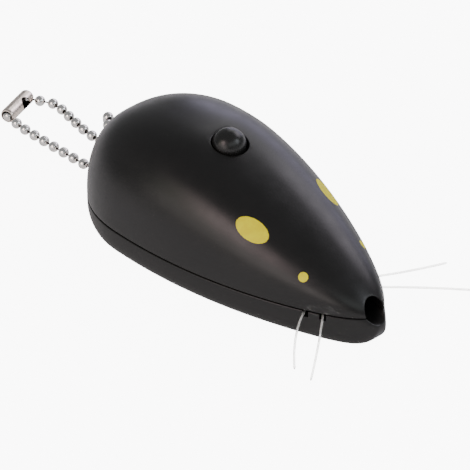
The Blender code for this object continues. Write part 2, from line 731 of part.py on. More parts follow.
def belly_holes():
    """The door's pocket, the screws' holes, the lug's hole and the whisker notches."""
    holes = [prism("pocket", pocket_outline(), -OVERRUN, POCKET_TOP)]
    head_hole = SHELL_SCREW_HEAD + CLEARANCE
    screw_hole = [
        (head_hole, -OVERRUN),
        (head_hole, SCREW_SEAT_HEIGHT),
        (SHELL_HOLE, SCREW_SEAT_HEIGHT),
        (SHELL_HOLE, SEAM_LOW + OVERRUN),
    ]
    for place, offset in SHELL_SCREW_PLACES.values():
        holes.append(moved(revolved("screw_hole", screw_hole, 20), (x_of(place), offset, 0)))
    lug_ends = [LUG_HOLE + Vector((0, 0, sign * LUG_THICKNESS)) for sign in (-1, 1)]
    holes.append(rod("lug_hole", LUG_HOLE_RADIUS, *lug_ends, 20))
    holes += [notch(*whisker) for whisker in WHISKERS.values()]
    return holes


def bay_holes():
    """The battery bay and the pilot holes beside it."""
    opening = prism("opening", bay_outline(0, DOOR_CORNER / 2), POCKET_TOP / 2, BAY_TOP + OVERRUN)
    door_pilot = [(x_of(DOOR_SCREW_STATION), 0, z) for z in (POCKET_TOP / 2, DOOR_PILOT_TOP)]
    board_pilot = [
        (x_of(BOARD_POST_STATION), 0, z) for z in (BAY_TOP + OVERRUN, BAY_TOP - SMALL_SCREW_LENGTH)
    ]
    return [
        opening,
        rod("door_pilot", SMALL_HOLE, *door_pilot, 16),
        rod("board_pilot", SMALL_HOLE, *board_pilot, 16),
    ]


def lower_shell(plastic, bore):
    belly = half_body("lower_shell", 0, SEAM_LOW, belly_row, 20)
    shell = placed("lower_shell", belly, plastic)
    above = SEAM_LOW + 2 * OVERRUN
    margin = POCKET_HALF_WIDTH + PAD_MARGIN
    pad_low = (x_of(POCKET_REAR_STATION - PAD_MARGIN), -margin, WALL / 2)
    pad_high = (x_of(POCKET_FRONT_STATION + PAD_MARGIN), margin, PAD_THICKNESS)
    fittings = [
        box("pad", pad_low, pad_high),
        light_socket(),
        *screw_towers(0, above),
        *light_ribs(0, above),
    ]
    hollowed(shell, "lower_cavity", SEAM_LOW + OVERRUN, belly_row, fittings)
    lip = rim_band(
        "joint_lip",
        LIP_SETBACK,
        LIP_SETBACK + LIP_THICKNESS,
        SEAM_LOW - LIP_ROOT,
        SEAM_LOW + LIP_RISE,
    )
    add(shell, cutter("joint_lip", lip))
    root = PAD_THICKNESS - WALL / 2
    walls = prism("bay_walls", bay_outline(BAY_WALL, DOOR_CORNER), root, BAY_TOP)
    add(shell, cutter("bay_walls", walls))
    boss_radius = SMALL_HOLE + BOSS_WALL
    boss_ends = [(x_of(DOOR_SCREW_STATION), 0, z) for z in (root, DOOR_BOSS_TOP)]
    post_ends = [(x_of(BOARD_POST_STATION), 0, z) for z in (WALL / 2, BAY_TOP)]
    towers = [
        rod("door_boss", boss_radius, *boss_ends, 16),
        rod("board_post", BOARD_POST_RADIUS, *post_ends, 16),
        lug(),
    ]
    add(shell, cutter("belly_towers", joined("belly_towers", towers)))
    cut(shell, cutter("belly_holes", joined("belly_holes", belly_holes())))
    cut(shell, cutter("bay_holes", joined("bay_holes", bay_holes())))
    cut(shell, bore)
    close_slivers(shell)


# Screws


def screw(name, seat, along, small, steel):
    """A pan-head screw. Its head's underside is at the seat and its shank points along."""
    shank = SMALL_SCREW_SHANK if small else SHELL_SCREW_SHANK
    head = SMALL_SCREW_HEAD if small else SHELL_SCREW_HEAD
    rise = SMALL_SCREW_HEAD_RISE if small else SHELL_SCREW_HEAD_RISE
    length = SMALL_SCREW_LENGTH if small else SHELL_SCREW_LENGTH
    profile = [
        (0, -rise),
        (head * HEAD_FLAT_SHARE, -rise),
        (head, -rise * HEAD_SHOULDER_SHARE),
        (head, 0),
        (shank, 0),
        (shank, length - shank),
        (0, length),
    ]
    part = placed(name, revolved(name, profile, 14), steel, seat, along)
    half, reach = CROSS_WIDTH / 2, head * CROSS_LENGTH_SHARE
    corner = [(reach, -half), (reach, half), (half, half)]
    cross = []
    for _ in range(4):
        cross += corner
        corner = [(-y, x) for x, y in corner]
    bottom = -rise - OVERRUN
    depth = rise * CROSS_DEPTH_SHARE
    recess = prism(f"{name}_recess", cross, bottom, depth - rise)
    cut(part, cutter(f"{name}_recess", recess, seat, along))
    return part


def shell_screws(steel):
    for side, (place, offset) in SHELL_SCREW_PLACES.items():
        seat = (x_of(place), offset, SCREW_SEAT_HEIGHT - CLEARANCE)
        screw(f"shell_screw_{side}", seat, (0, 0, 1), False, steel)


# Button and switch


def button_cap(rubber):
    """A domed cap on a flange that the collar holds in, with a stem down to the switch."""
    flange = BUTTON_RADIUS + BUTTON_FLANGE_REACH
    flange_bottom = FLANGE_TOP - BUTTON_FLANGE_THICKNESS
    dome_foot = BUTTON_SURFACE - BUTTON_DOME_SINK
    dome_rise = BUTTON_DOME_RISE + BUTTON_DOME_SINK
    profile = [
        (0, STEM_BOTTOM),
        (BUTTON_STEM_RADIUS, STEM_BOTTOM),
        (BUTTON_STEM_RADIUS, flange_bottom),
        (flange, flange_bottom),
        (flange, FLANGE_TOP),
        (BUTTON_RADIUS, FLANGE_TOP),
    ]
    steps = 8
    for step in range(steps + 1):
        angle = math.pi / 2 * step / steps
        profile.append((BUTTON_RADIUS * math.cos(angle), dome_foot + dome_rise * math.sin(angle)))
    placed("button_cap", revolved("button_cap", profile, 28), rubber, (x_of(BUTTON_STATION), 0, 0))


def switch(black, white, steel):
    at = (x_of(BUTTON_STATION), 0, 0)
    x, half = at[0], SWITCH_WIDTH / 2
    body = box("switch_body", (x - half, -half, SWITCH_BOTTOM), (x + half, half, SWITCH_TOP))
    inside = half - SWITCH_WALL
    ceiling = SWITCH_TOP - SWITCH_WALL
    hole = SWITCH_PLUNGER_RADIUS + CLEARANCE
    hollow = [
        (inside, SWITCH_BOTTOM - OVERRUN),
        (inside, ceiling),
        (hole, ceiling),
        (hole, SWITCH_TOP + OVERRUN),
    ]
    housing = placed("switch_body", body, black)
    cut(housing, cutter("switch_hollow", revolved("switch_hollow", hollow, 20), at))
    flange = SWITCH_PLUNGER_RADIUS + SWITCH_FLANGE_REACH
    foot = SWITCH_DOME_TOP + CLEARANCE + SWITCH_TRAVEL
    plunger = [
        (flange, foot),
        (flange, ceiling - CLEARANCE),
        (SWITCH_PLUNGER_RADIUS, ceiling - CLEARANCE),
        (SWITCH_PLUNGER_RADIUS, PLUNGER_TOP),
    ]
    placed("switch_plunger", revolved("switch_plunger", plunger, 20), white, at)
    crown = SWITCH_BOTTOM + SWITCH_DOME_RISE
    dome = [
        (0, crown),
        (SWITCH_DOME_RADIUS, SWITCH_BOTTOM),
        (SWITCH_DOME_RADIUS, SWITCH_BOTTOM + SWITCH_DOME_THICKNESS),
        (0, SWITCH_DOME_TOP),
    ]
    placed("switch_dome", revolved("switch_dome", dome, 20), steel, at)


# Battery bay


def battery_door(plastic):
    plate = prism("battery_door", pocket_outline(CLEARANCE), DOOR_RECESS, DOOR_TOP)
    door = placed("battery_door", plate, plastic)
    head_hole = SMALL_SCREW_HEAD + CLEARANCE
    step = DOOR_SCREW_SEAT + CLEARANCE
    profile = [
        (head_hole, -OVERRUN),
        (head_hole, step),
        (SMALL_HOLE, step),
        (SMALL_HOLE, DOOR_TOP + OVERRUN),
    ]
    hole = revolved("door_screw_hole", profile, 20)
    cut(door, cutter("door_screw_hole", hole, (x_of(DOOR_SCREW_STATION), 0, 0)))


def button_cells(nickel):
    profile = [
        (0, 0),
        (CELL_RADIUS - 2 * CELL_RIM, 0),
        (CELL_RADIUS - 2 * CELL_RIM, CELL_RIM / 2),
        (CELL_RADIUS - CELL_RIM / 2, CELL_RIM / 2),
        (CELL_RADIUS, CELL_RIM),
        (CELL_RADIUS, CELL_THICKNESS - CELL_RIM / 2),
        (CELL_RADIUS - CELL_RIM / 2, CELL_THICKNESS),
        (0, CELL_THICKNESS),
    ]
    for number in range(CELL_COUNT):
        place = FIRST_CELL_STATION + number * (CELL_THICKNESS + CLEARANCE)
        name = f"button_cell_{number + 1}"
        placed(name, revolved(name, profile, 28), nickel, (x_of(place), 0, CELL_HEIGHT), (1, 0, 0))


def contact(name, place, steel):
    """A plate across the bay with a solder tail that rises past the board."""
    low, high = POCKET_TOP + CLEARANCE, BAY_TOP - CLEARANCE
    tail_top = BOARD_TOP + CONTACT_TAIL_RISE
    outline = [
        (CONTACT_HALF_WIDTH, low),
        (CONTACT_HALF_WIDTH, high),
        (CONTACT_TAIL_HALF_WIDTH, high),
        (CONTACT_TAIL_HALF_WIDTH, tail_top),
    ]
    outline += [(-y, z) for y, z in outline[::-1]]
    rows = [
        [(x_of(place + reach), y, z) for y, z in outline] for reach in (0, CONTACT_THICKNESS)
    ]
    placed(name, lofted(name, rows), steel)


def battery_spring(steel):
    """A conical coil from the negative contact to the first cell, as one unbroken tube."""
    steps_per_turn = 12
    steps = SPRING_TURNS * steps_per_turn
    run = SPRING_LENGTH - 2 * SPRING_WIRE_RADIUS
    points = []
    for step in range(steps + 1):
        share = step / steps
        radius = SPRING_BASE_RADIUS + (SPRING_TIP_RADIUS - SPRING_BASE_RADIUS) * share
        angle = 2 * math.pi * step / steps_per_turn
        x = x_of(SPRING_STATION) + SPRING_WIRE_RADIUS + run * share
        y, z = radius * math.cos(angle), CELL_HEIGHT + radius * math.sin(angle)
        points.append(Vector((x, y, z)))
    radii = [SPRING_WIRE_RADIUS] * len(points)
    placed("battery_spring", tube("battery_spring", points, radii, 6), steel)


# Circuit board and light


def circuit_board(laminate, steel, ceramic):
    low = (x_of(BOARD_REAR_STATION), -BOARD_HALF_WIDTH)
    high = (x_of(BOARD_FRONT_STATION), BOARD_HALF_WIDTH)
    outline = rounded_rectangle(low, high, DOOR_CORNER)
    board = prism("circuit_board", outline, BOARD_BOTTOM, BOARD_TOP)
    slot_half = CONTACT_TAIL_HALF_WIDTH + CLEARANCE
    slot_low = (x_of(POSITIVE_STATION) - CLEARANCE, -slot_half, BOARD_BOTTOM - OVERRUN)
    slot_high = (x_of(POSITIVE_STATION + CONTACT_THICKNESS) + CLEARANCE, slot_half,
                 BOARD_TOP + OVERRUN)
    hole_ends = [
        (x_of(BOARD_POST_STATION), 0, z) for z in (BOARD_BOTTOM - OVERRUN, BOARD_TOP + OVERRUN)
    ]
    holes = [box("slot", slot_low, slot_high), rod("hole", SMALL_HOLE, *hole_ends, 16)]
    plate = placed("circuit_board", board, laminate)
    cut(plate, cutter("board_holes", joined("board_holes", holes)))
    seat = (x_of(BOARD_POST_STATION), 0, BOARD_TOP + CLEARANCE)
    screw("board_screw", seat, (0, 0, -1), True, steel)
    waist = RESISTOR_RADIUS * RESISTOR_WAIST_SHARE
    bead = RESISTOR_LENGTH / 4
    profile = [
        (waist, 0),
        (RESISTOR_RADIUS, bead / 2),
        (RESISTOR_RADIUS, bead),
        (waist, bead * 3 / 2),
        (waist, RESISTOR_LENGTH - bead * 3 / 2),
        (RESISTOR_RADIUS, RESISTOR_LENGTH - bead),
        (RESISTOR_RADIUS, RESISTOR_LENGTH - bead / 2),
        (waist, RESISTOR_LENGTH),
    ]
    at = (
        x_of(BOARD_FRONT_STATION - RESISTOR_SETBACK),
        RESISTOR_OFFSET,
        BOARD_TOP + CLEARANCE + RESISTOR_RADIUS,
    )
    placed("resistor", revolved("resistor", profile, 12), ceramic, at, (1, 0, 0))


def light(black, clear, glow, steel):
    front, rear = x_of(HOUSING_FRONT_STATION), x_of(HOUSING_REAR_STATION)
    at = (0, 0, LIGHT_HEIGHT)
    eye = HOUSING_BORE - HOUSING_LIP
    barrel = [
        (HOUSING_RADIUS, rear),
        (HOUSING_RADIUS, front),
        (eye, front),
        (eye, front - HOUSING_LIP),
        (HOUSING_BORE, front - HOUSING_LIP),
        (HOUSING_BORE, rear),
    ]
    housing = revolved("light_housing", barrel, 28, looped=True)
    placed("light_housing", housing, black, at, (1, 0, 0))
    lens_front = front - HOUSING_LIP - CLEARANCE
    lens_rear = lens_front - LENS_THICKNESS
    crown_foot = eye - CLEARANCE
    lens = [
        (0, lens_rear),
        (DIODE_RADIUS, lens_rear),
        (DIODE_RADIUS, lens_front),
        (crown_foot, lens_front),
    ]
    steps = 4
    for step in range(1, steps + 1):
        angle = math.pi / 2 * step / steps
        lens.append((crown_foot * math.cos(angle), lens_front + LENS_CROWN * math.sin(angle)))
    placed("light_lens", revolved("light_lens", lens, 28), clear, at, (1, 0, 0))
    base = rear + CLEARANCE
    bulb = [(0, base), (DIODE_RADIUS, base)]
    steps = 6
    for step in range(steps + 1):
        angle = math.pi / 2 * step / steps
        height = base + DIODE_BASE_LENGTH + DIODE_RADIUS * math.sin(angle)
        bulb.append((DIODE_RADIUS * math.cos(angle), height))
    diode = placed("light_diode", revolved("light_diode", bulb, 24), glow, at, (1, 0, 0))
    leads = []
    for sign in (-1, 1):
        start = (base - DIODE_LEAD_LENGTH, sign * DIODE_LEAD_SPREAD, LIGHT_HEIGHT)
        end = (base + DIODE_LEAD_RADIUS, sign * DIODE_LEAD_SPREAD, LIGHT_HEIGHT)
        leads.append(rod("lead", DIODE_LEAD_RADIUS, start, end, 8))
    add(diode, cutter("diode_leads", joined("diode_leads", leads)))


def curve_point(share, start, start_pull, end_pull, end):
    """A point of a cubic curve between two ends, each with a point that it leaves towards."""
    rest = 1 - share
    return (
        start * rest**3
        + start_pull * 3 * rest**2 * share
        + end_pull * 3 * rest * share**2
        + end * share**3
    )


def lead_wires(red, black):
    """The wires from the board's front edge to the diode's leads."""
    steps = 12
    forward = Vector((WIRE_BEND, 0, 0))
    end_x = x_of(HOUSING_REAR_STATION) - DIODE_LEAD_LENGTH
    start_x = x_of(BOARD_FRONT_STATION) + CLEARANCE
    for name, sign, finish in (("lead_wire_red", 1, red), ("lead_wire_black", -1, black)):
        start = Vector((start_x, sign * WIRE_EXIT_OFFSET, BOARD_BOTTOM + BOARD_THICKNESS / 2))
        end = Vector((end_x, sign * DIODE_LEAD_SPREAD, LIGHT_HEIGHT))
        points = [
            curve_point(step / steps, start, start + forward, end - forward, end)
            for step in range(steps + 1)
        ]
        placed(name, tube(name, points, [WIRE_RADIUS] * len(points)), finish)


# Whiskers


def whisker_exit(place, degrees, reach):
    """Where a whisker leaves the skin, and its direction there."""
    side = math.copysign(1, reach[1])
    turn = math.radians(degrees)
    exit_point = Vector((x_of(place), side * half_width(place), WHISKER_HEIGHT))
    return exit_point, Vector((math.sin(turn), side * math.cos(turn), 0))


def whisker(name, place, degrees, reach, nylon):
    """A strand with a melted ball inside the shell, straight through the notch, then bowed."""
    exit_point, outwards = whisker_exit(place, degrees, reach)
    points, radii = [], []
    ball_steps = 6
    for step in range(ball_steps + 1):
        angle = math.pi * step / ball_steps
        along = -WHISKER_BALL_RADIUS * math.cos(angle)
        round_radius = WHISKER_BALL_RADIUS * math.sin(angle)
        points.append(exit_point + outwards * (along - WHISKER_BALL_DEPTH))
        radii.append(max(round_radius, WHISKER_RADIUS if step else WHISKER_RADIUS / 2))
    tip_point = exit_point + Vector(reach)
    bend = exit_point + outwards * (tip_point - exit_point).length * WHISKER_BEND_SHARE
    steps = 12
    for step in range(steps + 1):
        share = step / steps
        rest = 1 - share
        points.append(
            exit_point * rest**2 + bend * 2 * rest * share + tip_point * share**2
        )
        radii.append(WHISKER_RADIUS)
    placed(name, tube(name, points, radii), nylon)


# Ball chain


def spread(start, end, steps=40):
    return [start.lerp(end, step / steps) for step in range(1, steps + 1)]


def quarter_turn(start, heading, radius, steps=40):
    """Points that turn from straight down to level along a heading."""
    found = []
    for step in range(1, steps + 1):
        angle = math.pi / 2 * step / steps
        fall = Vector((0, 0, -radius * math.sin(angle)))
        found.append(start + heading * radius * (1 - math.cos(angle)) + fall)
    return found


def strand_points(strand):
    """The strand's points on the floor. The last one is in the sleeve."""
    points = [Vector((x_of(place), offset, BEAD_HEIGHT)) for place, offset in strand]
    points[-1].z = SLEEVE_HEIGHT
    return points


def landed(route, strand, radius):
    """Adds to a route its way straight down, its turn along the floor and its strand."""
    points = strand_points(strand)
    level = route[-1].copy()
    level.z = BEAD_HEIGHT + radius
    heading = Vector((points[0].x - level.x, points[0].y - level.y, 0)).normalized()
    route += spread(route[-1], level)
    route += quarter_turn(level, heading, radius)
    for point in points:
        if (point - route[-1]).dot(heading) > 0:
            route += spread(route[-1], point)
    beyond = points[-1] * 2 - points[-2]
    return route + spread(route[-1], beyond)


def route_above():
    """The chain's way from the lug's hole up, over an arch and down to the left strand."""
    turn = math.radians(ARCH_HEADING_DEGREES)
    outwards = Vector((math.cos(turn), math.sin(turn), 0))
    up = Vector((0, 0, 1))
    spring_line = LUG_HOLE + up * ARCH_STEM
    route = [LUG_HOLE.copy(), *spread(LUG_HOLE, spring_line)]
    steps = 80
    for step in range(1, steps + 1):
        angle = math.pi * step / steps
        across = outwards * ARCH_RADIUS * (1 - math.cos(angle))
        route.append(spring_line + across + up * ARCH_RADIUS * math.sin(angle))
    return landed(route, LEFT_STRAND, ARCH_RADIUS)


def beads_along(route, count):
    """Bead centres along a route, one pitch apart in a straight line."""
    found = []
    here = route[0]
    for point in route:
        ahead = point - here
        if len(found) < count and ahead.length >= BEAD_PITCH:
            here = here + ahead.normalized() * BEAD_PITCH
            found.append(here)
    return found


def sphere_arc(radius, first_angle, last_angle, steps):
    """Profile points round a sphere. Angles are from its north pole."""
    angles = [first_angle + (last_angle - first_angle) * step / steps for step in range(steps + 1)]
    return [(radius * math.sin(angle), radius * math.cos(angle)) for angle in angles]


def bead(mouthwards):
    """A hollow ball with a round mouth."""
    inner = BEAD_RADIUS - BEAD_WALL
    outside = sphere_arc(BEAD_RADIUS, math.asin(BEAD_MOUTH_RADIUS / BEAD_RADIUS), math.pi, 6)
    inside = sphere_arc(inner, math.pi, math.asin(BEAD_MOUTH_RADIUS / inner), 5)
    ball = revolved("bead", outside + inside, BEAD_SEGMENTS, looped=True)
    return moved(ball, along=mouthwards)


def pin(onwards):
    """A pin from the ball's wall to the bulb that the next ball holds."""
    bulb_centre = BEAD_PITCH - PIN_BULB_SETBACK
    neck_angle = math.pi - math.asin(PIN_RADIUS / PIN_BULB_RADIUS)
    profile = [(PIN_RADIUS, BEAD_RADIUS - BEAD_WALL / 2)]
    for radius, height in sphere_arc(PIN_BULB_RADIUS, neck_angle, 0, 4):
        profile.append((radius, bulb_centre + height))
    return moved(revolved("pin", profile, PIN_SEGMENTS), along=onwards)


def hinge(name, at, parent=None):
    marker = bpy.data.objects.new(name, None)
    bpy.context.scene.collection.objects.link(marker)
    marker.empty_display_size = BEAD_PITCH
    hang(marker, at, parent)
    return marker


def place_of(part):
    """Where an object that nothing turns is in the world."""
    return part.location + (place_of(part.parent) if part.parent else Vector())


def hang(part, at, parent):
    part.parent = parent
    part.location = at - (place_of(parent) if parent else Vector())


def sleeve(nickel, head, head_neighbour, foot, parent):
    """A rolled sleeve round the chain's two end balls, with a slit for their pins."""
    axis = (foot - head).normalized()
    side = head_neighbour - head
    side = (side - axis * side.dot(axis)).normalized()
    up = axis.cross(side)
    start = head - axis * SLEEVE_HEAD
    length = (foot - head).length + SLEEVE_HEAD + SLEEVE_FOOT
    slit = math.asin(SLEEVE_SLIT / 2 / SLEEVE_RADIUS)
    steps = 18
    angles = [slit + (2 * math.pi - 2 * slit) * step / steps for step in range(steps + 1)]
    rows = []
    crimped = ((0, SLEEVE_CRIMP), (SLEEVE_CRIMP_RUN, 0), (length - SLEEVE_CRIMP_RUN, 0),
               (length, SLEEVE_CRIMP))
    for along, crimp in crimped:
        row = []
        for radius, order in ((SLEEVE_RADIUS, 1), (SLEEVE_RADIUS - SLEEVE_WALL, -1)):
            for angle in angles[::order]:
                spoke = side * math.cos(angle) + up * math.sin(angle)
                row.append(spoke * (radius - crimp) + axis * along)
        rows.append(row)
    tube_part = placed("chain_connector", lofted("chain_connector", rows), nickel)
    hang(tube_part, start, parent)
    middle = axis * SLEEVE_OPENING_SETBACK
    opening = rod("sleeve_opening", SLEEVE_OPENING_RADIUS, middle, middle + side * SLEEVE_RADIUS * 2)
    tool = cutter("sleeve_opening", opening)
    hang(tool, start, parent)
    cut(tube_part, tool)


def fold_place(above, below, fold):
    """The middle between the two pins that a fold of the chain turns on."""
    outer, inner = FIRST_FOLD_ABOVE + fold, FIRST_FOLD_BELOW + fold
    back = (above[outer - 1] - above[outer]).normalized() * PIN_BULB_SETBACK
    out = (below[inner + 1] - below[inner]).normalized() * PIN_BULB_SETBACK
    return (above[outer] + back + below[inner] + out) / 2


def ball_chain(nickel):
    """The chain from its end ball below the lug, through the lug, to its end ball above it."""
    above = beads_along(route_above(), LINKS_ABOVE)
    below = beads_along(landed([LUG_HOLE.copy()], RIGHT_STRAND, DIP_RADIUS), LINKS_BELOW)
    above.insert(0, LUG_HOLE)
    below.insert(0, LUG_HOLE)
    hinges = [hinge("chain_swing_hinge", LUG_HOLE)]
    for fold in range(CURL_FOLDS):
        at = fold_place(above, below, fold)
        hinges.append(hinge(f"chain_curl_hinge_{fold + 1}", at, hinges[-1]))
    line = [(place, max(number - FIRST_FOLD_BELOW, 0)) for number, place in enumerate(below)]
    line = line[:0:-1]
    line += [(place, max(number - FIRST_FOLD_ABOVE + 1, 0)) for number, place in enumerate(above)]
    places = [place for place, _ in line]
    for number, (place, fold) in enumerate(line):
        onwards = places[min(number + 1, len(places) - 1)] - place
        mouthwards = places[number - 1] - place if number else -onwards
        name = f"chain_link_{number + 1:02d}"
        link = placed(name, bead(mouthwards), nickel)
        hang(link, place, hinges[min(fold, CURL_FOLDS)])
        if number + 1 < len(places):
            tool = cutter(f"{name}_pin", pin(onwards))
            hang(tool, place, hinges[min(fold, CURL_FOLDS)])
            add(link, tool)
    sleeve(nickel, above[-1], above[-2], below[-1], hinges[-1])


def build():
    clear_scene()
    charcoal = material("charcoal_plastic", (0.030, 0.029, 0.028), 0.42)
    button_black = material("button_black", (0.008, 0.008, 0.008), 0.18)
    moulded_black = material("moulded_black", (0.02, 0.02, 0.022), 0.5)
    white_plastic = material("white_plastic", (0.8, 0.79, 0.76), 0.45)
    steel = material("screw_steel", (0.55, 0.55, 0.56), 0.3, 1.0)
    nickel = material("nickel", (0.72, 0.68, 0.64), 0.18, 1.0)
    contact_metal = material("contact_metal", (0.74, 0.73, 0.70), 0.3, 1.0)
    laminate = material("board_green", (0.02, 0.14, 0.06), 0.5)
    ceramic = material("resistor_tan", (0.62, 0.48, 0.30), 0.55)
    clear = material("clear_lens", (0.85, 0.87, 0.88), 0.08)
    glow = material("red_diode", (0.5, 0.02, 0.02), 0.12)
    red_sheath = material("red_sheath", (0.5, 0.02, 0.02), 0.5)
    nylon = material("nylon", (0.82, 0.82, 0.80), 0.25)
    bore = nose_bore()
    upper_shell(charcoal, bore)
    lower_shell(charcoal, bore)
    shell_screws(steel)
    button_cap(button_black)
    switch(moulded_black, white_plastic, contact_metal)
    battery_door(charcoal)
    seat = (x_of(DOOR_SCREW_STATION), 0, DOOR_SCREW_SEAT)
    screw("battery_door_screw", seat, (0, 0, 1), True, steel)
    button_cells(contact_metal)
    contact("negative_contact", NEGATIVE_STATION, contact_metal)
    contact("positive_contact", POSITIVE_STATION, contact_metal)
    battery_spring(contact_metal)
    circuit_board(laminate, steel, ceramic)
    light(moulded_black, clear, glow, contact_metal)
    lead_wires(red_sheath, moulded_black)
    for name, (place, degrees, reach) in WHISKERS.items():
        whisker(name, place, degrees, reach, nylon)
    ball_chain(nickel)


build()
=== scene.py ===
"""Dresses the mouse cat toy. Metres, +X to the nose, +Y to the mouse's left, +Z up."""

import math

import bmesh
import bpy
from mathutils import Matrix, Vector

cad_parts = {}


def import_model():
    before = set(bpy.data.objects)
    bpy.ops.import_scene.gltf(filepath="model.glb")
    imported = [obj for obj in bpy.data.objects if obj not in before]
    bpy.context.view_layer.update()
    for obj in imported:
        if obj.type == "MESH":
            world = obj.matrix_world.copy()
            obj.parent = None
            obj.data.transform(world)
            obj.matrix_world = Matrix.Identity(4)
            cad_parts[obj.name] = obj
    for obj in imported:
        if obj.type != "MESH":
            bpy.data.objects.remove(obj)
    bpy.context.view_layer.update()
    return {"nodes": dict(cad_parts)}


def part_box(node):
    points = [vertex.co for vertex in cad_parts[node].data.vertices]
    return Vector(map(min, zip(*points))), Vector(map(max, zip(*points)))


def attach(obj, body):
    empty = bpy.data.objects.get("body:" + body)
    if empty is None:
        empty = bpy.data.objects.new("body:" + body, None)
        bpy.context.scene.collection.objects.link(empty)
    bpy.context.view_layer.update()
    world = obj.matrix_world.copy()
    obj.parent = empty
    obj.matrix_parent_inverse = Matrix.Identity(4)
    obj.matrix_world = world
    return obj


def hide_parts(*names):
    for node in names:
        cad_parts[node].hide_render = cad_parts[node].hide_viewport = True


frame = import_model()
MM = 0.001

# The part's sizes. The nose, its bore, the notches, the balls and the sleeve differ a little
# from the solids, to come closer to the photograph.
BODY_LENGTH, BODY_WIDTH, BODY_HEIGHT = 0.0800, 0.0397, 0.0287
ORIGIN_STATION = BODY_LENGTH * 0.575
SEAM_HEIGHT = BODY_HEIGHT * 0.2561
WIDEST_STATION, HIGHEST_STATION = BODY_LENGTH * 0.2725, BODY_LENGTH * 0.3625
FLOOR_START_STATION = BODY_LENGTH * 0.23125
NOSE_HALF_WIDTH, NOSE_RISE = BODY_WIDTH * 0.1000, BODY_HEIGHT * 0.10976
CHIN_REACH, FLOOR_TRIM = 0.0015, 0.00008
WALL, CLEARANCE, OVERRUN = 0.0016, 0.0003, 0.0020
REAR_PLAN_POWER, NOSE_PLAN_POWER = 2.19, 22.0
PLAN = {
    "crest": WIDEST_STATION, "most": BODY_WIDTH / 2, "nose": NOSE_HALF_WIDTH,
    "rear": REAR_PLAN_POWER, "root": 2.03, "front": 2.08, "end": NOSE_PLAN_POWER,
}
ROOF = {
    "crest": HIGHEST_STATION, "most": BODY_HEIGHT - SEAM_HEIGHT, "nose": NOSE_RISE,
    "rear": 2.13, "root": 3.06, "front": 1.52, "end": 14.5,
}
REAR_KEEL_POWER, NOSE_KEEL_POWER = 1.75, 42.6
CHIN_POWER, CHIN_DEPTH_POWER = 31.5, 5.0
CHIN_ROUND, CHIN_TUCK = 0.30, 0.25
TAIL_SECTION_POWER, NOSE_SECTION_POWER, BELLY_SECTION_POWER = 2.5, 2.3, 5.4
SEAM_LOW, SEAM_HIGH = SEAM_HEIGHT - CLEARANCE / 2, SEAM_HEIGHT + CLEARANCE / 2
LIP_SETBACK, LIP_THICKNESS, LIP_RISE, LIP_ROOT = 0.0008, 0.0006, 0.0009, 0.0010
LIP_END_STATION = BODY_LENGTH * 0.9225
NOSE_BORE_RADIUS = 0.0025
LIGHT_HEIGHT = BODY_HEIGHT * 0.2857
BORE_END_STATION = BODY_LENGTH * (1 - 0.1175)
HOUSING_RADIUS = 0.0033
HOUSING_SEAT_RADIUS = HOUSING_RADIUS + CLEARANCE
HOUSING_FRONT_STATION = BORE_END_STATION - CLEARANCE
HOUSING_REAR_STATION = HOUSING_FRONT_STATION - BODY_LENGTH * 0.16
SOCKET_WALL, SOCKET_OVERLAP = 0.0006, 0.0010
RIB_THICKNESS, RIB_HALF_WIDTH, RIB_INSET = 0.0012, 0.0046, 0.0028
BUTTON_STATION = BODY_LENGTH * 0.44375
BUTTON_RADIUS, BUTTON_HOLE_RADIUS = 0.0036, 0.0039
BUTTON_DOME_RISE, BUTTON_DOME_SINK = 0.0030, 0.0004
BUTTON_FLANGE_REACH, BUTTON_FLANGE_THICKNESS, BUTTON_STEM_RADIUS = 0.0011, 0.0009, 0.0015
BUTTON_HOLE_BOTTOM = 0.0200
COLLAR_WALL, COLLAR_DEPTH = 0.0016, BODY_HEIGHT * 0.11847
COLLAR_RADIUS = BUTTON_HOLE_RADIUS + COLLAR_WALL
# The cap stands this far off the middle of its hole
BUTTON_SHIFT = 0.00013
CELL_COUNT, CELL_RADIUS, CELL_THICKNESS = 3, BODY_HEIGHT * 0.20209, BODY_LENGTH * 0.0675
SPRING_LENGTH, CONTACT_THICKNESS = 0.0020, 0.0004
BAY_FRONT_STATION = BODY_LENGTH * 0.5325
BAY_REAR_STATION = (
    BAY_FRONT_STATION - CELL_COUNT * (CELL_THICKNESS + CLEARANCE)
    - SPRING_LENGTH - 2 * CONTACT_THICKNESS - 4 * CLEARANCE
)
BAY_HALF_WIDTH = CELL_RADIUS + CLEARANCE
BAY_WALL, DOOR_TAB, DOOR_CORNER = 0.0012, 0.0048, 0.0012
DOOR_TOP = 0.0015
POCKET_TOP = DOOR_TOP + CLEARANCE
BAY_TOP = DOOR_TOP + 2 * CELL_RADIUS + 2 * CLEARANCE
PAD_THICKNESS, PAD_MARGIN = 0.0030, 0.0016
POCKET_REAR_STATION = BAY_REAR_STATION - DOOR_TAB
POCKET_FRONT_STATION = BAY_FRONT_STATION + BAY_WALL
POCKET_HALF_WIDTH = BAY_HALF_WIDTH + BAY_WALL
DOOR_SCREW_STATION = BAY_REAR_STATION - DOOR_TAB / 2 - CLEARANCE
SMALL_HOLE, SMALL_BOSS_RADIUS, BOSS_WALL = 0.0012, 0.0026, 0.0014
DOOR_RECESS, SMALL_SCREW_HEAD_RISE, SMALL_SCREW_LENGTH = 0.0001, 0.0005, 0.0050
DOOR_PILOT_TOP = DOOR_RECESS + SMALL_SCREW_HEAD_RISE + SMALL_SCREW_LENGTH + CLEARANCE
BOARD_POST_STATION, BOARD_POST_RADIUS = BAY_FRONT_STATION + BODY_LENGTH * 0.0675, 0.0022
SHELL_HOLE, SHELL_BOSS_RADIUS, SHELL_HEAD_HOLE = 0.0015, 0.0029, 0.0025
SCREW_SEAT_HEIGHT = BODY_HEIGHT * 0.13937
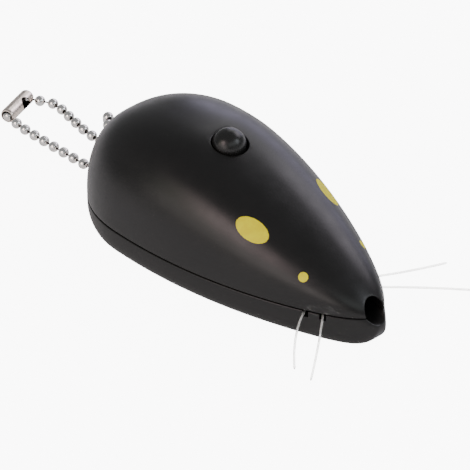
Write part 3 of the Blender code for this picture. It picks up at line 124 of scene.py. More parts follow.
SHELL_SCREW_TIP = SCREW_SEAT_HEIGHT - CLEARANCE + BODY_HEIGHT * 0.36585
SHELL_SCREWS = (
    (BODY_LENGTH * 0.1375, 0.0),
    (BODY_LENGTH * 0.675, BODY_WIDTH * 0.2141),
    (BODY_LENGTH * 0.675, -BODY_WIDTH * 0.2141),
)
WHISKER_RADIUS, WHISKER_BALL_RADIUS, WHISKER_BALL_DEPTH = 0.00023, 0.00055, 0.0024
WHISKER_BEND_SHARE, WHISKER_END_SHARE = 0.45, 0.35
NOTCH_WIDTH, NOTCH_DEPTH, NOTCH_REACH = 0.0014, 0.0013, 0.0034
NOTCH_BOTTOM = SEAM_LOW - NOTCH_DEPTH
WHISKER_HEIGHT = NOTCH_BOTTOM + CLEARANCE + WHISKER_RADIUS
# A whisker's station, its notch's turn in degrees, its tip from where it leaves the skin,
# and how far it lies towards the tail in its notch
WHISKERS = {
    "whisker_right_rear": (BODY_LENGTH * 0.8575, 30, (0.0105, -0.0128, -0.00143), 0.00042),
    "whisker_right_front": (BODY_LENGTH * 0.9, 42, (0.012, -0.01468, -0.00143), 0),
    "whisker_left_rear": (BODY_LENGTH * 0.8575, 30, (0.0068, 0.0147, -3e-05), 0),
    "whisker_left_front": (BODY_LENGTH * 0.9, 42, (0.0148, 0.01478, -0.00023), 0),
}
LUG_STATION, LUG_HEIGHT = -0.0032, 0.0061
LUG_HOLE = Vector((LUG_STATION - ORIGIN_STATION, 0, LUG_HEIGHT))
LUG_RADIUS, LUG_HOLE_RADIUS, LUG_THICKNESS, LUG_ROOT = 0.0030, 0.0017, 0.0018, 0.0070
LUG_TOP, LUG_FILLET = SEAM_LOW - 0.0002, 0.00035
BEAD_RADIUS, BEAD_WALL, BEAD_PITCH = 0.00120, 0.0002, 0.00314
PIN_RADIUS, PIN_BULB_RADIUS, PIN_BULB_SETBACK = 0.00020, 0.00055, 0.0003
MOUTH_RADIUS, EXIT_RADIUS, MOUTH_LIP = 0.00053, 0.00036, 0.00004
# The ball's seam: how far its skin lies in at a turn in degrees, away from the mouths
SEAM_DENTS, SEAM_START_RADIUS = {0: 0.00003, 2.5: 0.000018, 357.5: 0.000018}, 0.0007
# The pin's head: radius and distance from the middle of its ball
PIN_HEAD = ((0, 0.0004), (0.0004, 0.00045), (0.00046, 0.0006), (0.0004, 0.00075))
PIN_HEAD_END = 0.0008
SLEEVE_RADIUS, SLEEVE_WALL, SLEEVE_HEAD, SLEEVE_FOOT = 0.00168, 0.00022, 0.0009, 0.0006
SLEEVE_SLIT, SLEEVE_HEAD_CRIMP, SLEEVE_HEAD_RUN = 0.0006, 0.00042, 0.0008
SLEEVE_FOOT_CRIMP, SLEEVE_FOOT_RUN = 0.00016, 0.0006
SLEEVE_OPENING_RADIUS, SLEEVE_OPENING_SETBACK = 0.00140, 0.0037
SLEEVE_OPENING_TURN, SLEEVE_LIFT = 22, 0.00020
# The sleeve's crimped ends: share of the run from the end and share of the crimp
CRIMP_CURVE = ((0, 1), (0.12, 0.72), (0.3, 0.42), (0.55, 0.16), (0.8, 0.03), (1, 0))

# Centres of the 27 balls, in millimetres, from the right end of the chain to the left
LINKS = (
    (-80.171, -2.624, 1.608), (-77.064, -2.845, 1.211), (-73.929, -3.035, 1.2),
    (-70.79, -2.977, 1.2), (-67.651, -2.898, 1.2), (-64.514, -2.763, 1.2),
    (-61.377, -2.628, 1.2), (-58.24, -2.491, 1.2), (-55.104, -2.321, 1.202),
    (-52.163, -1.222, 1.247), (-49.768, -0.234, 3.021), (-49.2, 0.0, 6.1),
    (-49.49, 0.246, 9.217), (-51.235, 1.726, 11.367), (-53.63, 3.757, 11.317),
    (-55.347, 5.213, 9.128), (-55.604, 5.431, 6.006), (-56.392, 5.537, 2.968),
    (-59.033, 5.886, 1.306), (-62.157, 6.19, 1.203), (-65.285, 6.456, 1.2),
    (-68.382, 6.975, 1.2), (-71.471, 7.54, 1.2), (-74.554, 8.133, 1.2),
    (-77.694, 8.199, 1.2), (-80.506, 6.803, 1.2), (-83.065, 5.012, 1.525),
)
LINK_BODIES = (
    ("chain_end", (1, 2, 24, 25, 26, 27)),
    ("chain_row_3", (3, 23)),
    ("chain_row_2", (4, 22)),
    ("chain_row_1", (5, 21)),
    ("chain_near", tuple(range(6, 21))),
)

# Detail that only this script adds
SKIN_ROWS, CAVITY_ROWS = (30, 26, 22), (15, 13, 11)
SKIN_STEPS, CAVITY_STEPS, EDGE_SEGMENTS = 96, 48, 96
RIM_FILLET, HOLE_FILLET, BORE_FILLET = 0.00025, 0.00028, 0.00030
SHARP_DEGREES = 38.0


# Meshes


def mesh_from(name, points, faces):
    mesh = bpy.data.meshes.new(name)
    mesh.from_pydata([tuple(point) for point in points], [], faces)
    cleaner = bmesh.new()
    cleaner.from_mesh(mesh)
    bmesh.ops.recalc_face_normals(cleaner, faces=cleaner.faces)
    cleaner.to_mesh(mesh)
    cleaner.free()
    mesh.shade_smooth()
    mesh.set_sharp_from_angle(angle=math.radians(SHARP_DEGREES))
    return mesh


def bridged(low, high, closed=True):
    """Faces between two rows of point numbers, where one row may be a single pole."""
    count = max(len(low), len(high))
    faces = []
    for step in range(count if closed else count - 1):
        following = (step + 1) % count
        if len(low) == 1:
            faces.append((low[0], high[following], high[step]))
        elif len(high) == 1:
            faces.append((low[step], low[following], high[0]))
        else:
            faces.append((low[step], low[following], high[following], high[step]))
    return faces


def numbered(rings):
    """All the rings' points in one list, and a row of point numbers for each ring."""
    points, rows = [], []
    for ring in rings:
        rows.append(list(range(len(points), len(points) + len(ring))))
        points += ring
    return points, rows


def full_turn(segments):
    return [2 * math.pi * step / segments for step in range(segments)]


def ringed(name, rings, looped=False):
    """A solid through closed rings of points. A ring of one point is a pole."""
    points, rows = numbered(rings)
    pairs = list(zip(rows, rows[1:]))
    if looped:
        pairs.append((rows[-1], rows[0]))
    faces = [face for low, high in pairs for face in bridged(low, high)]
    if not looped:
        faces += [row for row in (rows[0], rows[-1]) if len(row) > 1]
    return mesh_from(name, points, faces)


def circle(radius, height, segments):
    if radius < 1e-9:
        return [Vector((0, 0, height))]
    return [
        Vector((radius * math.cos(a), radius * math.sin(a), height)) for a in full_turn(segments)
    ]


def revolved(name, profile, segments=48, looped=False):
    return ringed(name, [circle(radius, height, segments) for radius, height in profile], looped)


def prism(name, outline, bottom, top):
    return ringed(name, [[Vector((x, y, z)) for x, y in outline] for z in (bottom, top)])


def box(name, low, high):
    outline = [(low[0], low[1]), (high[0], low[1]), (high[0], high[1]), (low[0], high[1])]
    return prism(name, outline, low[2], high[2])


def tube(name, points, radii, sides):
    rings, side = [], None
    for number, (point, radius) in enumerate(zip(points, radii)):
        ahead = points[min(number + 1, len(points) - 1)] - points[max(number - 1, 0)]
        ahead.normalize()
        side = ahead.orthogonal() if side is None else side - ahead * side.dot(ahead)
        side.normalize()
        up = ahead.cross(side)
        rings.append([
            point + (side * math.cos(a) + up * math.sin(a)) * radius for a in full_turn(sides)
        ])
    return ringed(name, rings)


def rounded_rectangle(low, high, corner):
    centres = (
        (high[0] - corner, high[1] - corner),
        (low[0] + corner, high[1] - corner),
        (low[0] + corner, low[1] + corner),
        (high[0] - corner, low[1] + corner),
    )
    outline = []
    for quarter, (x, y) in enumerate(centres):
        for step in range(9):
            angle = math.pi / 2 * (quarter + step / 8)
            outline.append((x + corner * math.cos(angle), y + corner * math.sin(angle)))
    return outline


def joined(name, meshes):
    """One mesh that holds several."""
    points, faces, slots = [], [], []
    for mesh in meshes:
        start = len(points)
        points += [vertex.co.copy() for vertex in mesh.vertices]
        faces += [[start + number for number in face.vertices] for face in mesh.polygons]
        slots += [face.material_index for face in mesh.polygons]
    made = mesh_from(name, points, faces)
    made.polygons.foreach_set("material_index", slots)
    return made


def moved(mesh, at, along=(0, 0, 1)):
    turn = Vector((0, 0, 1)).rotation_difference(Vector(along))
    for vertex in mesh.vertices:
        vertex.co = turn @ vertex.co + Vector(at)
    return mesh


def rod(name, radius, start, end, segments=48):
    axis = Vector(end) - Vector(start)
    return moved(revolved(name, [(radius, 0), (radius, axis.length)], segments), start, axis)


def placed(name, data, finish=None):
    part = bpy.data.objects.new(name, data)
    bpy.context.scene.collection.objects.link(part)
    if finish:
        data.materials.append(finish)
    return part


def carved(name, mesh, changes, finish, sharp_degrees=SHARP_DEGREES):
    """An object whose mesh is the given one after Boolean changes, worked out now."""
    part = placed(name, mesh)
    helpers = []
    for operation, tool_mesh in changes:
        tool = placed(f"{name}_tool_{len(helpers)}", tool_mesh)
        helpers.append(tool)
        change = part.modifiers.new(tool.name, "BOOLEAN")
        change.operation, change.object, change.solver = operation, tool, "EXACT"
    bpy.context.view_layer.update()
    evaluated = part.evaluated_get(bpy.context.evaluated_depsgraph_get())
    final = bpy.data.meshes.new_from_object(evaluated)
    part.modifiers.clear()
    part.data = final
    for tool in helpers:
        bpy.data.objects.remove(tool, do_unlink=True)
    final.materials.clear()
    final.materials.append(finish)
    final.shade_smooth()
    final.set_sharp_from_angle(angle=math.radians(sharp_degrees))
    return part


def rounding(part, width, degrees):
    """A small Bevel modifier on a part's sharp edges."""
    bevel = part.modifiers.new("rounding", "BEVEL")
    bevel.width, bevel.segments, bevel.limit_method = width, 2, "ANGLE"
    bevel.angle_limit = math.radians(degrees)
    bevel.harden_normals = True


# The body's skin


def x_of(station):
    return station - ORIGIN_STATION


def upright(name, radius, station, offset, bottom, top, segments=48):
    """A rod that stands at a station, at a distance from the middle."""
    x = x_of(station)
    return rod(name, radius, (x, offset, bottom), (x, offset, top), segments)


def front_share(station, start, inset):
    return min(max((station - start) / (BODY_LENGTH - inset - start), 0), 1)


def rear_share(station, start, inset):
    return min(max((start - station) / (start - inset), 0), 1)


def skin_reach(station, inset, crest, most, nose, rear, root, front, end):
    """The skin's reach from the middle, by the powers of its rear, front and nose curves."""
    most, nose = most - inset, nose - inset
    behind = rear_share(station, crest, inset)
    if behind > 0:
        return most * (1 - behind**rear) ** (1 / root)
    run = front_share(station, crest, inset)
    return (nose + (most - nose) * (1 - run**front)) * math.sqrt(1 - run**end)


def half_width(station, inset=0):
    return skin_reach(station, inset, **PLAN)


def roof_rise(station, inset=0):
    return skin_reach(station, inset, **ROOF)


def belly_drop(station, inset=0):
    depth = SEAM_HEIGHT + FLOOR_TRIM - inset
    rear = rear_share(station, FLOOR_START_STATION, inset)
    if rear > 0:
        return depth * (1 - rear**REAR_KEEL_POWER)
    run = front_share(station, WIDEST_STATION, inset)
    return depth * math.sqrt(1 - run**NOSE_KEEL_POWER)


def back_power(station):
    tail_share = 1 - station / BODY_LENGTH
    return NOSE_SECTION_POWER + (TAIL_SECTION_POWER - NOSE_SECTION_POWER) * tail_share


def chin(station, height, rim, inset=0):
    reach = CHIN_REACH * front_share(station, WIDEST_STATION, inset) ** CHIN_POWER
    lift = min(max(height, 0) / rim, 1)
    under = 1 - min(lift / CHIN_ROUND, 1)
    tuck = CHIN_TUCK * (1 - math.sqrt(1 - under**2))
    return reach * (1 - lift**CHIN_DEPTH_POWER) * (1 - tuck)


def stations(inset, rear_steps, middle_steps, nose_steps):
    """Stations from tail to nose, closer together where the skin turns."""
    middle_share = 0.8
    rear_reach = WIDEST_STATION - inset
    front_reach = BODY_LENGTH - inset - WIDEST_STATION
    found = []
    for step in range(rear_steps, 0, -1):
        share = math.sin(math.pi / 2 * step / rear_steps) ** (2 / REAR_PLAN_POWER)
        found.append(WIDEST_STATION - rear_reach * share)
    for step in range(middle_steps):
        found.append(WIDEST_STATION + front_reach * middle_share * step / middle_steps)
    first = math.asin(middle_share ** (NOSE_PLAN_POWER / 2))
    for step in range(nose_steps + 1):
        angle = first + (math.pi / 2 - first) * step / nose_steps
        found.append(WIDEST_STATION + front_reach * math.sin(angle) ** (2 / NOSE_PLAN_POWER))
    return found


def section(place, inset, rim, steps, upwards, fillet):
    """Points across the back or the belly at a station, with a small round at the rim."""
    width = half_width(place, inset)
    power = back_power(place) if upwards else BELLY_SECTION_POWER
    if upwards:
        reach = SEAM_HEIGHT + roof_rise(place, inset) - rim
    else:
        reach = SEAM_HEIGHT - rim - belly_drop(place, inset)
    half = []
    first_rise = math.sin(math.pi / steps) ** (2 / power)
    fillet = min(fillet, width / 3, abs(reach) * first_rise * 0.9)
    for step in range(steps // 2 + 1):
        angle = math.pi * step / steps
        rise = math.sin(angle) ** (2 / power)
        if fillet and step == 0:
            for turn in (0, 22.5, 45, 67.5, 90):
                turned = math.radians(turn)
                lift = math.copysign(fillet * (1 - math.cos(turned)), reach)
                half.append((width - fillet * (1 - math.sin(turned)), rim + lift))
            continue
        half.append((width * math.cos(angle) ** (2 / power), rim + reach * rise))
    row = [(-y, z) for y, z in half] + [(y, z) for y, z in half[-2::-1]]
    points = []
    for y, z in row:
        z = z if upwards else max(z, inset)
        ahead = 0 if upwards else chin(place, z, rim, inset)
        points.append(Vector((x_of(place) + ahead, y, z)))
    return points


def half_body(name, inset, rim, upwards, counts, across, fillet=0.0):
    """The back or the belly as a closed solid with a flat rim."""
    places = stations(inset, *counts)
    rings = [[Vector((x_of(places[0]), 0, rim))]]
    rings += [section(p, inset, rim, across, upwards, fillet) for p in places[1:-1]]
    rings.append([Vector((x_of(places[-1]), 0, rim))])
    points, rows = numbered(rings)
    faces = [f for low, high in zip(rows, rows[1:]) for f in bridged(low, high, closed=False)]
    right = [row[0] for row in rows]
    left = [row[-1] for row in rows[1:-1]]
    faces.append(right + left[::-1])
    return mesh_from(name, points, faces)


def rim_band(name, outer_inset, inner_inset, bottom, top):
    """A band along the shells' rim, open at the nose."""
    pairs = list(zip(stations(outer_inset, *CAVITY_ROWS), stations(inner_inset, *CAVITY_ROWS)))
    kept = [pair for pair in pairs if pair[0] < LIP_END_STATION]
    kept.append((LIP_END_STATION, LIP_END_STATION))
    rings = []
    sides = [(-1, pair) for pair in kept[::-1]] + [(1, pair) for pair in kept[1:]]
    for sign, (outer, inner) in sides:
        outside = (x_of(outer), sign * half_width(outer, outer_inset))
        inside = (x_of(inner), sign * half_width(inner, inner_inset))
        corners = [(*outside, bottom), (*inside, bottom), (*inside, top), (*outside, top)]
        rings.append([Vector(corner) for corner in corners])
    return ringed(name, rings)


def roof_height(x, y):
    """The height of the back's skin over a point."""
    station = x + ORIGIN_STATION
    width, power = half_width(station), back_power(station)
    rise = SEAM_HEIGHT + roof_rise(station) - SEAM_HIGH
    return SEAM_HIGH + rise * max(1 - abs(y / width) ** power, 0) ** (1 / power)


def within(x, y, z):
    """Whether a point near the nose is inside the skin."""
    upwards = z > SEAM_HEIGHT
    station = x + ORIGIN_STATION
    if not upwards:
        for _ in range(12):
            station = x + ORIGIN_STATION - chin(station, z, SEAM_LOW)
    if station >= BODY_LENGTH:
        return False
    width = half_width(station)
    if width <= abs(y):
        return False
    if upwards:
        return z < roof_height(station - ORIGIN_STATION, y)
    power = BELLY_SECTION_POWER
    drop = SEAM_LOW - SEAM_HEIGHT + belly_drop(station)
    return z > SEAM_LOW - drop * (1 - abs(y / width) ** power) ** (1 / power)


def nose_skin(y, z):
    """Where the nose's skin lies at a height and a distance from the middle."""
    inside, outside = x_of(BORE_END_STATION), x_of(BODY_LENGTH + CHIN_REACH + CLEARANCE)
    for _ in range(40):
        middle = (inside + outside) / 2
        if within(middle, y, z):
            inside = middle
        else:
            outside = middle
    return inside


# Cutters and fittings of the shells


def flare(radius, fillet):
    """(radius, depth) pairs from a hole's wall, round its edge and out over the skin."""
    turns = [math.radians(80) * step / 5 for step in range(6)]
    pairs = [(radius + fillet * (1 - math.cos(a)), fillet * (1 - math.sin(a))) for a in turns]
    return [*pairs, (radius + fillet * 1.6, -fillet * 0.25)]


def button_hole():
    x = x_of(BUTTON_STATION)
    rings = [[Vector((x, 0, BUTTON_HOLE_BOTTOM))]]
    foot = circle(BUTTON_HOLE_RADIUS, BUTTON_HOLE_BOTTOM, EDGE_SEGMENTS)
    rings.append([Vector((x + point.x, point.y, point.z)) for point in foot])
    for radius, depth in flare(BUTTON_HOLE_RADIUS, HOLE_FILLET):
        ring = []
        for a in full_turn(EDGE_SEGMENTS):
            px, py = x + radius * math.cos(a), radius * math.sin(a)
            ring.append(Vector((px, py, roof_height(px, py) - depth)))
        rings.append(ring)
    lid = BODY_HEIGHT + OVERRUN
    rings.append([Vector((point.x, point.y, lid)) for point in rings[-1]])
    rings.append([Vector((x, 0, lid))])
    return ringed("button_hole", rings)


def nose_bore():
    def ring(radius, x):
        return [
            Vector((x, radius * math.cos(a), LIGHT_HEIGHT + radius * math.sin(a)))
            for a in full_turn(EDGE_SEGMENTS)
        ]

    rear, step = x_of(HOUSING_REAR_STATION - CLEARANCE), x_of(BORE_END_STATION)
    rings = [[Vector((rear, 0, LIGHT_HEIGHT))], ring(HOUSING_SEAT_RADIUS, rear)]
    rings += [ring(HOUSING_SEAT_RADIUS, step), ring(NOSE_BORE_RADIUS, step)]
    for radius, depth in flare(NOSE_BORE_RADIUS, BORE_FILLET):
        made = ring(radius, 0)
        for point in made:
            point.x = nose_skin(point.y, point.z) - depth
        rings.append(made)
    lid = x_of(BODY_LENGTH + 2 * OVERRUN)
    rings.append([Vector((lid, point.y, point.z)) for point in rings[-1]])
    rings.append([Vector((lid, 0, LIGHT_HEIGHT))])
    return ringed("nose_bore", rings)


def shared_fittings(bottom, top):
    """The light's socket and ribs and the screws' towers, as both shells have them."""
    start = (x_of(BORE_END_STATION - SOCKET_OVERLAP), 0, LIGHT_HEIGHT)
    end = (x_of(BODY_LENGTH), 0, LIGHT_HEIGHT)
    found = [rod("socket", HOUSING_SEAT_RADIUS + SOCKET_WALL, start, end)]
    for place, offset in SHELL_SCREWS:
        found.append(upright("tower", SHELL_BOSS_RADIUS, place, offset, bottom, top))
    half = RIB_THICKNESS / 2
    for place in (HOUSING_REAR_STATION + RIB_INSET, HOUSING_FRONT_STATION - RIB_INSET):
        low = (x_of(place - half), -RIB_HALF_WIDTH, bottom)
        found.append(box("rib", low, (x_of(place + half), RIB_HALF_WIDTH, top)))
    return found


def cavity(name, rim, upwards, fittings):
    """The inside of a shell less its fittings."""
    hollow = half_body(name, WALL, rim, upwards, CAVITY_ROWS, CAVITY_STEPS)
    part = carved(name, hollow, [("DIFFERENCE", tool) for tool in fittings], None)
    mesh = part.data
    bpy.data.objects.remove(part, do_unlink=True)
    return mesh


def upper_shell(finish):
    back = half_body("upper", 0, SEAM_HIGH, True, SKIN_ROWS, SKIN_STEPS, RIM_FILLET)
    below = SEAM_HIGH - 2 * OVERRUN
    collar_bottom = SEAM_HEIGHT + roof_rise(BUTTON_STATION) - COLLAR_DEPTH
    collar = upright("collar", COLLAR_RADIUS, BUTTON_STATION, 0, collar_bottom, BODY_HEIGHT)
    fittings = [*shared_fittings(below, BODY_HEIGHT), collar]
    pilots = [
        upright("pilot", SHELL_HOLE, *place, below, SHELL_SCREW_TIP + CLEARANCE, 24)
        for place in SHELL_SCREWS
    ]
    rebate = rim_band(
        "rebate", LIP_SETBACK - CLEARANCE, WALL + CLEARANCE,
        SEAM_LOW - OVERRUN, SEAM_LOW + LIP_RISE + CLEARANCE,
    )
    changes = [cavity("upper_cavity", SEAM_HIGH - OVERRUN, True, fittings), button_hole()]
    changes += [rebate, nose_bore(), joined("pilots", pilots)]
    return carved("upper_shell_moulding", back, [("DIFFERENCE", tool) for tool in changes], finish)


def whisker_exit(place, degrees, reach):
    side = math.copysign(1, reach[1])
    turn = math.radians(degrees)
    exit_point = Vector((x_of(place), side * half_width(place), WHISKER_HEIGHT))
    return exit_point, Vector((math.sin(turn), side * math.cos(turn), 0))


def notch(place, degrees, reach):
    exit_point, outwards = whisker_exit(place, degrees, reach)
    across = Vector((-outwards.y, outwards.x, 0)) * NOTCH_WIDTH / 2
    inner, outer = exit_point - outwards * NOTCH_REACH, exit_point + outwards * OVERRUN
    corners = [inner - across, outer - across, outer + across, inner + across]
    outline = [(corner.x, corner.y) for corner in corners]
    return prism("notch", outline, NOTCH_BOTTOM, SEAM_LOW + LIP_RISE + OVERRUN)


def tail_lug():
    """The flat tongue with a round end, its edges rounded."""
    steps, edge = 40, LUG_FILLET
    profile = [(edge, 0), (edge * 0.3, edge * 0.3), (0, edge)]
    profile += [(inset, LUG_THICKNESS - height) for inset, height in profile[::-1]]
    rings = []
    for inset, height in profile:
        radius = LUG_RADIUS - inset
        ring = []
        for step in range(steps + 1):
            angle = math.pi / 2 + math.pi * step / steps
            ring.append((LUG_HOLE.x + radius * math.cos(angle), radius * math.sin(angle)))
        root = x_of(LUG_STATION + LUG_ROOT)
        ring += [(root, -radius), (root, radius)]
        rings.append([Vector((px, py, LUG_TOP - LUG_THICKNESS + height)) for px, py in ring])
    return ringed("lug", rings)


def lug_eye():
    """The lug's hole with flared ends."""
    half = LUG_THICKNESS / 2
    profile = [(LUG_HOLE_RADIUS + 0.0008, -half - 0.0005), (LUG_HOLE_RADIUS + 0.0003, -half)]
    profile += [(LUG_HOLE_RADIUS + 0.00009, -half + 0.0001), (LUG_HOLE_RADIUS, -half + 0.0003)]
    profile += [(radius, -height) for radius, height in profile[::-1]]
    return moved(revolved("lug_eye", profile, 64), LUG_HOLE)


def plate_outline(rear, front, half, corner):
    return rounded_rectangle((x_of(rear), -half), (x_of(front), half), corner)


def bay_outline(reach, corner):
    ends = (BAY_REAR_STATION - reach, BAY_FRONT_STATION + reach)
    return plate_outline(*ends, BAY_HALF_WIDTH + reach, corner)


def lower_shell(finish):
    belly = half_body("lower", 0, SEAM_LOW, False, SKIN_ROWS, SKIN_STEPS, RIM_FILLET)
    above = SEAM_LOW + 2 * OVERRUN
    margin = POCKET_HALF_WIDTH + PAD_MARGIN
    low = (x_of(POCKET_REAR_STATION - PAD_MARGIN), -margin, WALL / 2)
    high = (x_of(POCKET_FRONT_STATION + PAD_MARGIN), margin, PAD_THICKNESS)
    fittings = [*shared_fittings(0, above), box("pad", low, high)]
    changes = [("DIFFERENCE", cavity("lower_cavity", SEAM_LOW + OVERRUN, False, fittings))]
    lip = rim_band(
        "lip", LIP_SETBACK, LIP_SETBACK + LIP_THICKNESS, SEAM_LOW - LIP_ROOT, SEAM_LOW + LIP_RISE
    )
    root = PAD_THICKNESS - WALL / 2
    walls = prism("bay_walls", bay_outline(BAY_WALL, DOOR_CORNER), root, BAY_TOP)
    boss_top = DOOR_PILOT_TOP + BOSS_WALL / 2
    boss = upright("boss", SMALL_BOSS_RADIUS, DOOR_SCREW_STATION, 0, root, boss_top)
    post = upright("post", BOARD_POST_RADIUS, BOARD_POST_STATION, 0, WALL / 2, BAY_TOP)
    changes += [("UNION", tool) for tool in (lip, walls, boss, post, tail_lug())]
    pocket_ends = (POCKET_REAR_STATION, POCKET_FRONT_STATION)
    pocket = plate_outline(*pocket_ends, POCKET_HALF_WIDTH, DOOR_CORNER)
    holes = [prism("pocket", pocket, -OVERRUN, POCKET_TOP), lug_eye()]
    well = [
        (SHELL_HEAD_HOLE, -OVERRUN), (SHELL_HEAD_HOLE, SCREW_SEAT_HEIGHT),
        (SHELL_HOLE, SCREW_SEAT_HEIGHT), (SHELL_HOLE, SEAM_LOW + OVERRUN),
    ]
    for place, offset in SHELL_SCREWS:
        holes.append(moved(revolved("well", well), (x_of(place), offset, 0)))
    holes += [notch(*facts[:3]) for facts in WHISKERS.values()]
    opening = prism("opening", bay_outline(0, DOOR_CORNER / 2), POCKET_TOP / 2, BAY_TOP + OVERRUN)
    door_pilot = (DOOR_SCREW_STATION, 0, POCKET_TOP / 2, DOOR_PILOT_TOP)
    board_pilot = (BOARD_POST_STATION, 0, BAY_TOP - SMALL_SCREW_LENGTH, BAY_TOP + OVERRUN)
    pilots = [upright("pilot", SMALL_HOLE, *run, 24) for run in (door_pilot, board_pilot)]
    holes = [joined("belly_holes", holes), joined("bay_holes", [opening, *pilots]), nose_bore()]
    changes += [("DIFFERENCE", tool) for tool in holes]
    return carved("lower_shell_moulding", belly, changes, finish)


# Button, whiskers and chain


def button_cap(finish):
    surface = SEAM_HEIGHT + roof_rise(BUTTON_STATION)
    collar_bottom = surface - COLLAR_DEPTH
    flange_top = collar_bottom - CLEARANCE
    flange_bottom = flange_top - BUTTON_FLANGE_THICKNESS
    stem_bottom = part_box("button_cap")[0].z
    flange, edge = BUTTON_RADIUS + BUTTON_FLANGE_REACH, 0.00012
    foot = surface - BUTTON_DOME_SINK
    rise = BUTTON_DOME_RISE + BUTTON_DOME_SINK
    profile = [
        (0, stem_bottom), (BUTTON_STEM_RADIUS - edge, stem_bottom),
        (BUTTON_STEM_RADIUS, stem_bottom + edge), (BUTTON_STEM_RADIUS, flange_bottom),
        (flange - edge, flange_bottom), (flange, flange_bottom + edge),
        (flange, flange_top - edge), (flange - edge, flange_top), (BUTTON_RADIUS, flange_top),
    ]
    for step in range(37):
        angle = math.pi / 2 * step / 36
        profile.append((BUTTON_RADIUS * math.cos(angle), foot + rise * math.sin(angle)))
    middle = (x_of(BUTTON_STATION) - BUTTON_SHIFT, -BUTTON_SHIFT, 0)
    mesh = moved(revolved("button", profile, 128), middle)
    return placed("button_dome", mesh, finish)


def whisker(name, place, degrees, reach, lean, finish):
    """A bent strand from its melted ball in the notch to its rounded tip."""
    exit_point, outwards = whisker_exit(place, degrees, reach)
    tip = exit_point + Vector(reach)
    along = Vector((abs(outwards.y), outwards.x * math.copysign(1, -outwards.y), 0))
    exit_point -= along * lean
    points, radii = [], []
    ball = WHISKER_BALL_RADIUS
    for step in range(13):
        angle = math.pi * step / 12
        points.append(exit_point - outwards * (ball * math.cos(angle) + WHISKER_BALL_DEPTH))
        radii.append(max(ball * math.sin(angle), WHISKER_RADIUS if step else WHISKER_RADIUS / 4))
    bend = exit_point + outwards * (tip - exit_point).length * WHISKER_BEND_SHARE
    steps = 60
    for step in range(steps + 1):
        share = step / steps
        rest = 1 - share
        points.append(exit_point * rest**2 + bend * 2 * rest * share + tip * share**2)
        near_end = min(rest * steps / 2, 1)
        rounding_off = math.sqrt(1 - (1 - near_end) ** 2)
        radii.append(WHISKER_RADIUS * max(rounding_off, WHISKER_END_SHARE))
    return placed(name, tube(f"{name}_strand", points, radii, 20), finish)


def arc(radius, start, end, steps):
    """(radius, height) pairs along a ball's skin, by the angle from its top."""
    angles = [start + (end - start) * step / steps for step in range(steps + 1)]
    return [(radius * math.sin(angle), radius * math.cos(angle)) for angle in angles]


def link_mesh(name, place, mouthwards, onwards):
    """A rolled ball with a mouth at each end, a raised seam between them, and its pin."""
    mouth = math.asin(MOUTH_RADIUS / BEAD_RADIUS)
    exit_mouth = math.pi - math.asin(EXIT_RADIUS / BEAD_RADIUS)
    profile = [(MOUTH_RADIUS - MOUTH_LIP, BEAD_RADIUS * math.cos(mouth) - MOUTH_LIP)]
    profile += arc(BEAD_RADIUS, mouth, exit_mouth, 24)
    profile.append((EXIT_RADIUS - MOUTH_LIP, BEAD_RADIUS * math.cos(exit_mouth) + MOUTH_LIP))
    profile += arc(BEAD_RADIUS - BEAD_WALL, exit_mouth, mouth, 12)
    turns = [0, 2.5, 5] + [15 + 11.25 * step for step in range(29)] + [340, 355, 357.5]
    rings = []
    for radius, height in profile:
        ring = []
        for turn in turns:
            reach = radius - (SEAM_DENTS.get(turn, 0) if radius > SEAM_START_RADIUS else 0)
            a = math.radians(turn)
            ring.append(Vector((reach * math.cos(a), reach * math.sin(a), height)))
        rings.append(ring)
    ball = moved(ringed(name, rings, looped=True), place, mouthwards)
    if onwards is None:
        return ball
    bulb = BEAD_PITCH - PIN_BULB_SETBACK
    shank = [*PIN_HEAD, (PIN_RADIUS, PIN_HEAD_END)]
    neck = math.pi - math.asin(PIN_RADIUS / PIN_BULB_RADIUS)
    shank += [(out, bulb + up) for out, up in arc(PIN_BULB_RADIUS, neck, 0, 8)]
    pin = moved(revolved("pin", shank, 20), place, onwards)
    # The pin's faces take the second slot, near-black nickel that is painted shade between the
    # balls
    for polygon in pin.polygons:
        polygon.material_index = 1
    return joined(name, [ball, pin])


def ball_chain(finish, pin_painted_shade, places):
    for body, numbers in LINK_BODIES:
        for number in numbers:
            place = places[number - 1]
            onwards = places[number] - place if number < len(places) else None
            mouthwards = places[number - 2] - place if number > 1 else -onwards
            name = f"chain_ball_{number:02d}"
            ball = placed(name, link_mesh(name, place, mouthwards, onwards), finish)
            # The second slot is the pins' near-black nickel, painted shade between the balls
            ball.data.materials.append(pin_painted_shade)
            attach(ball, body)
            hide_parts(f"chain_link_{number:02d}")


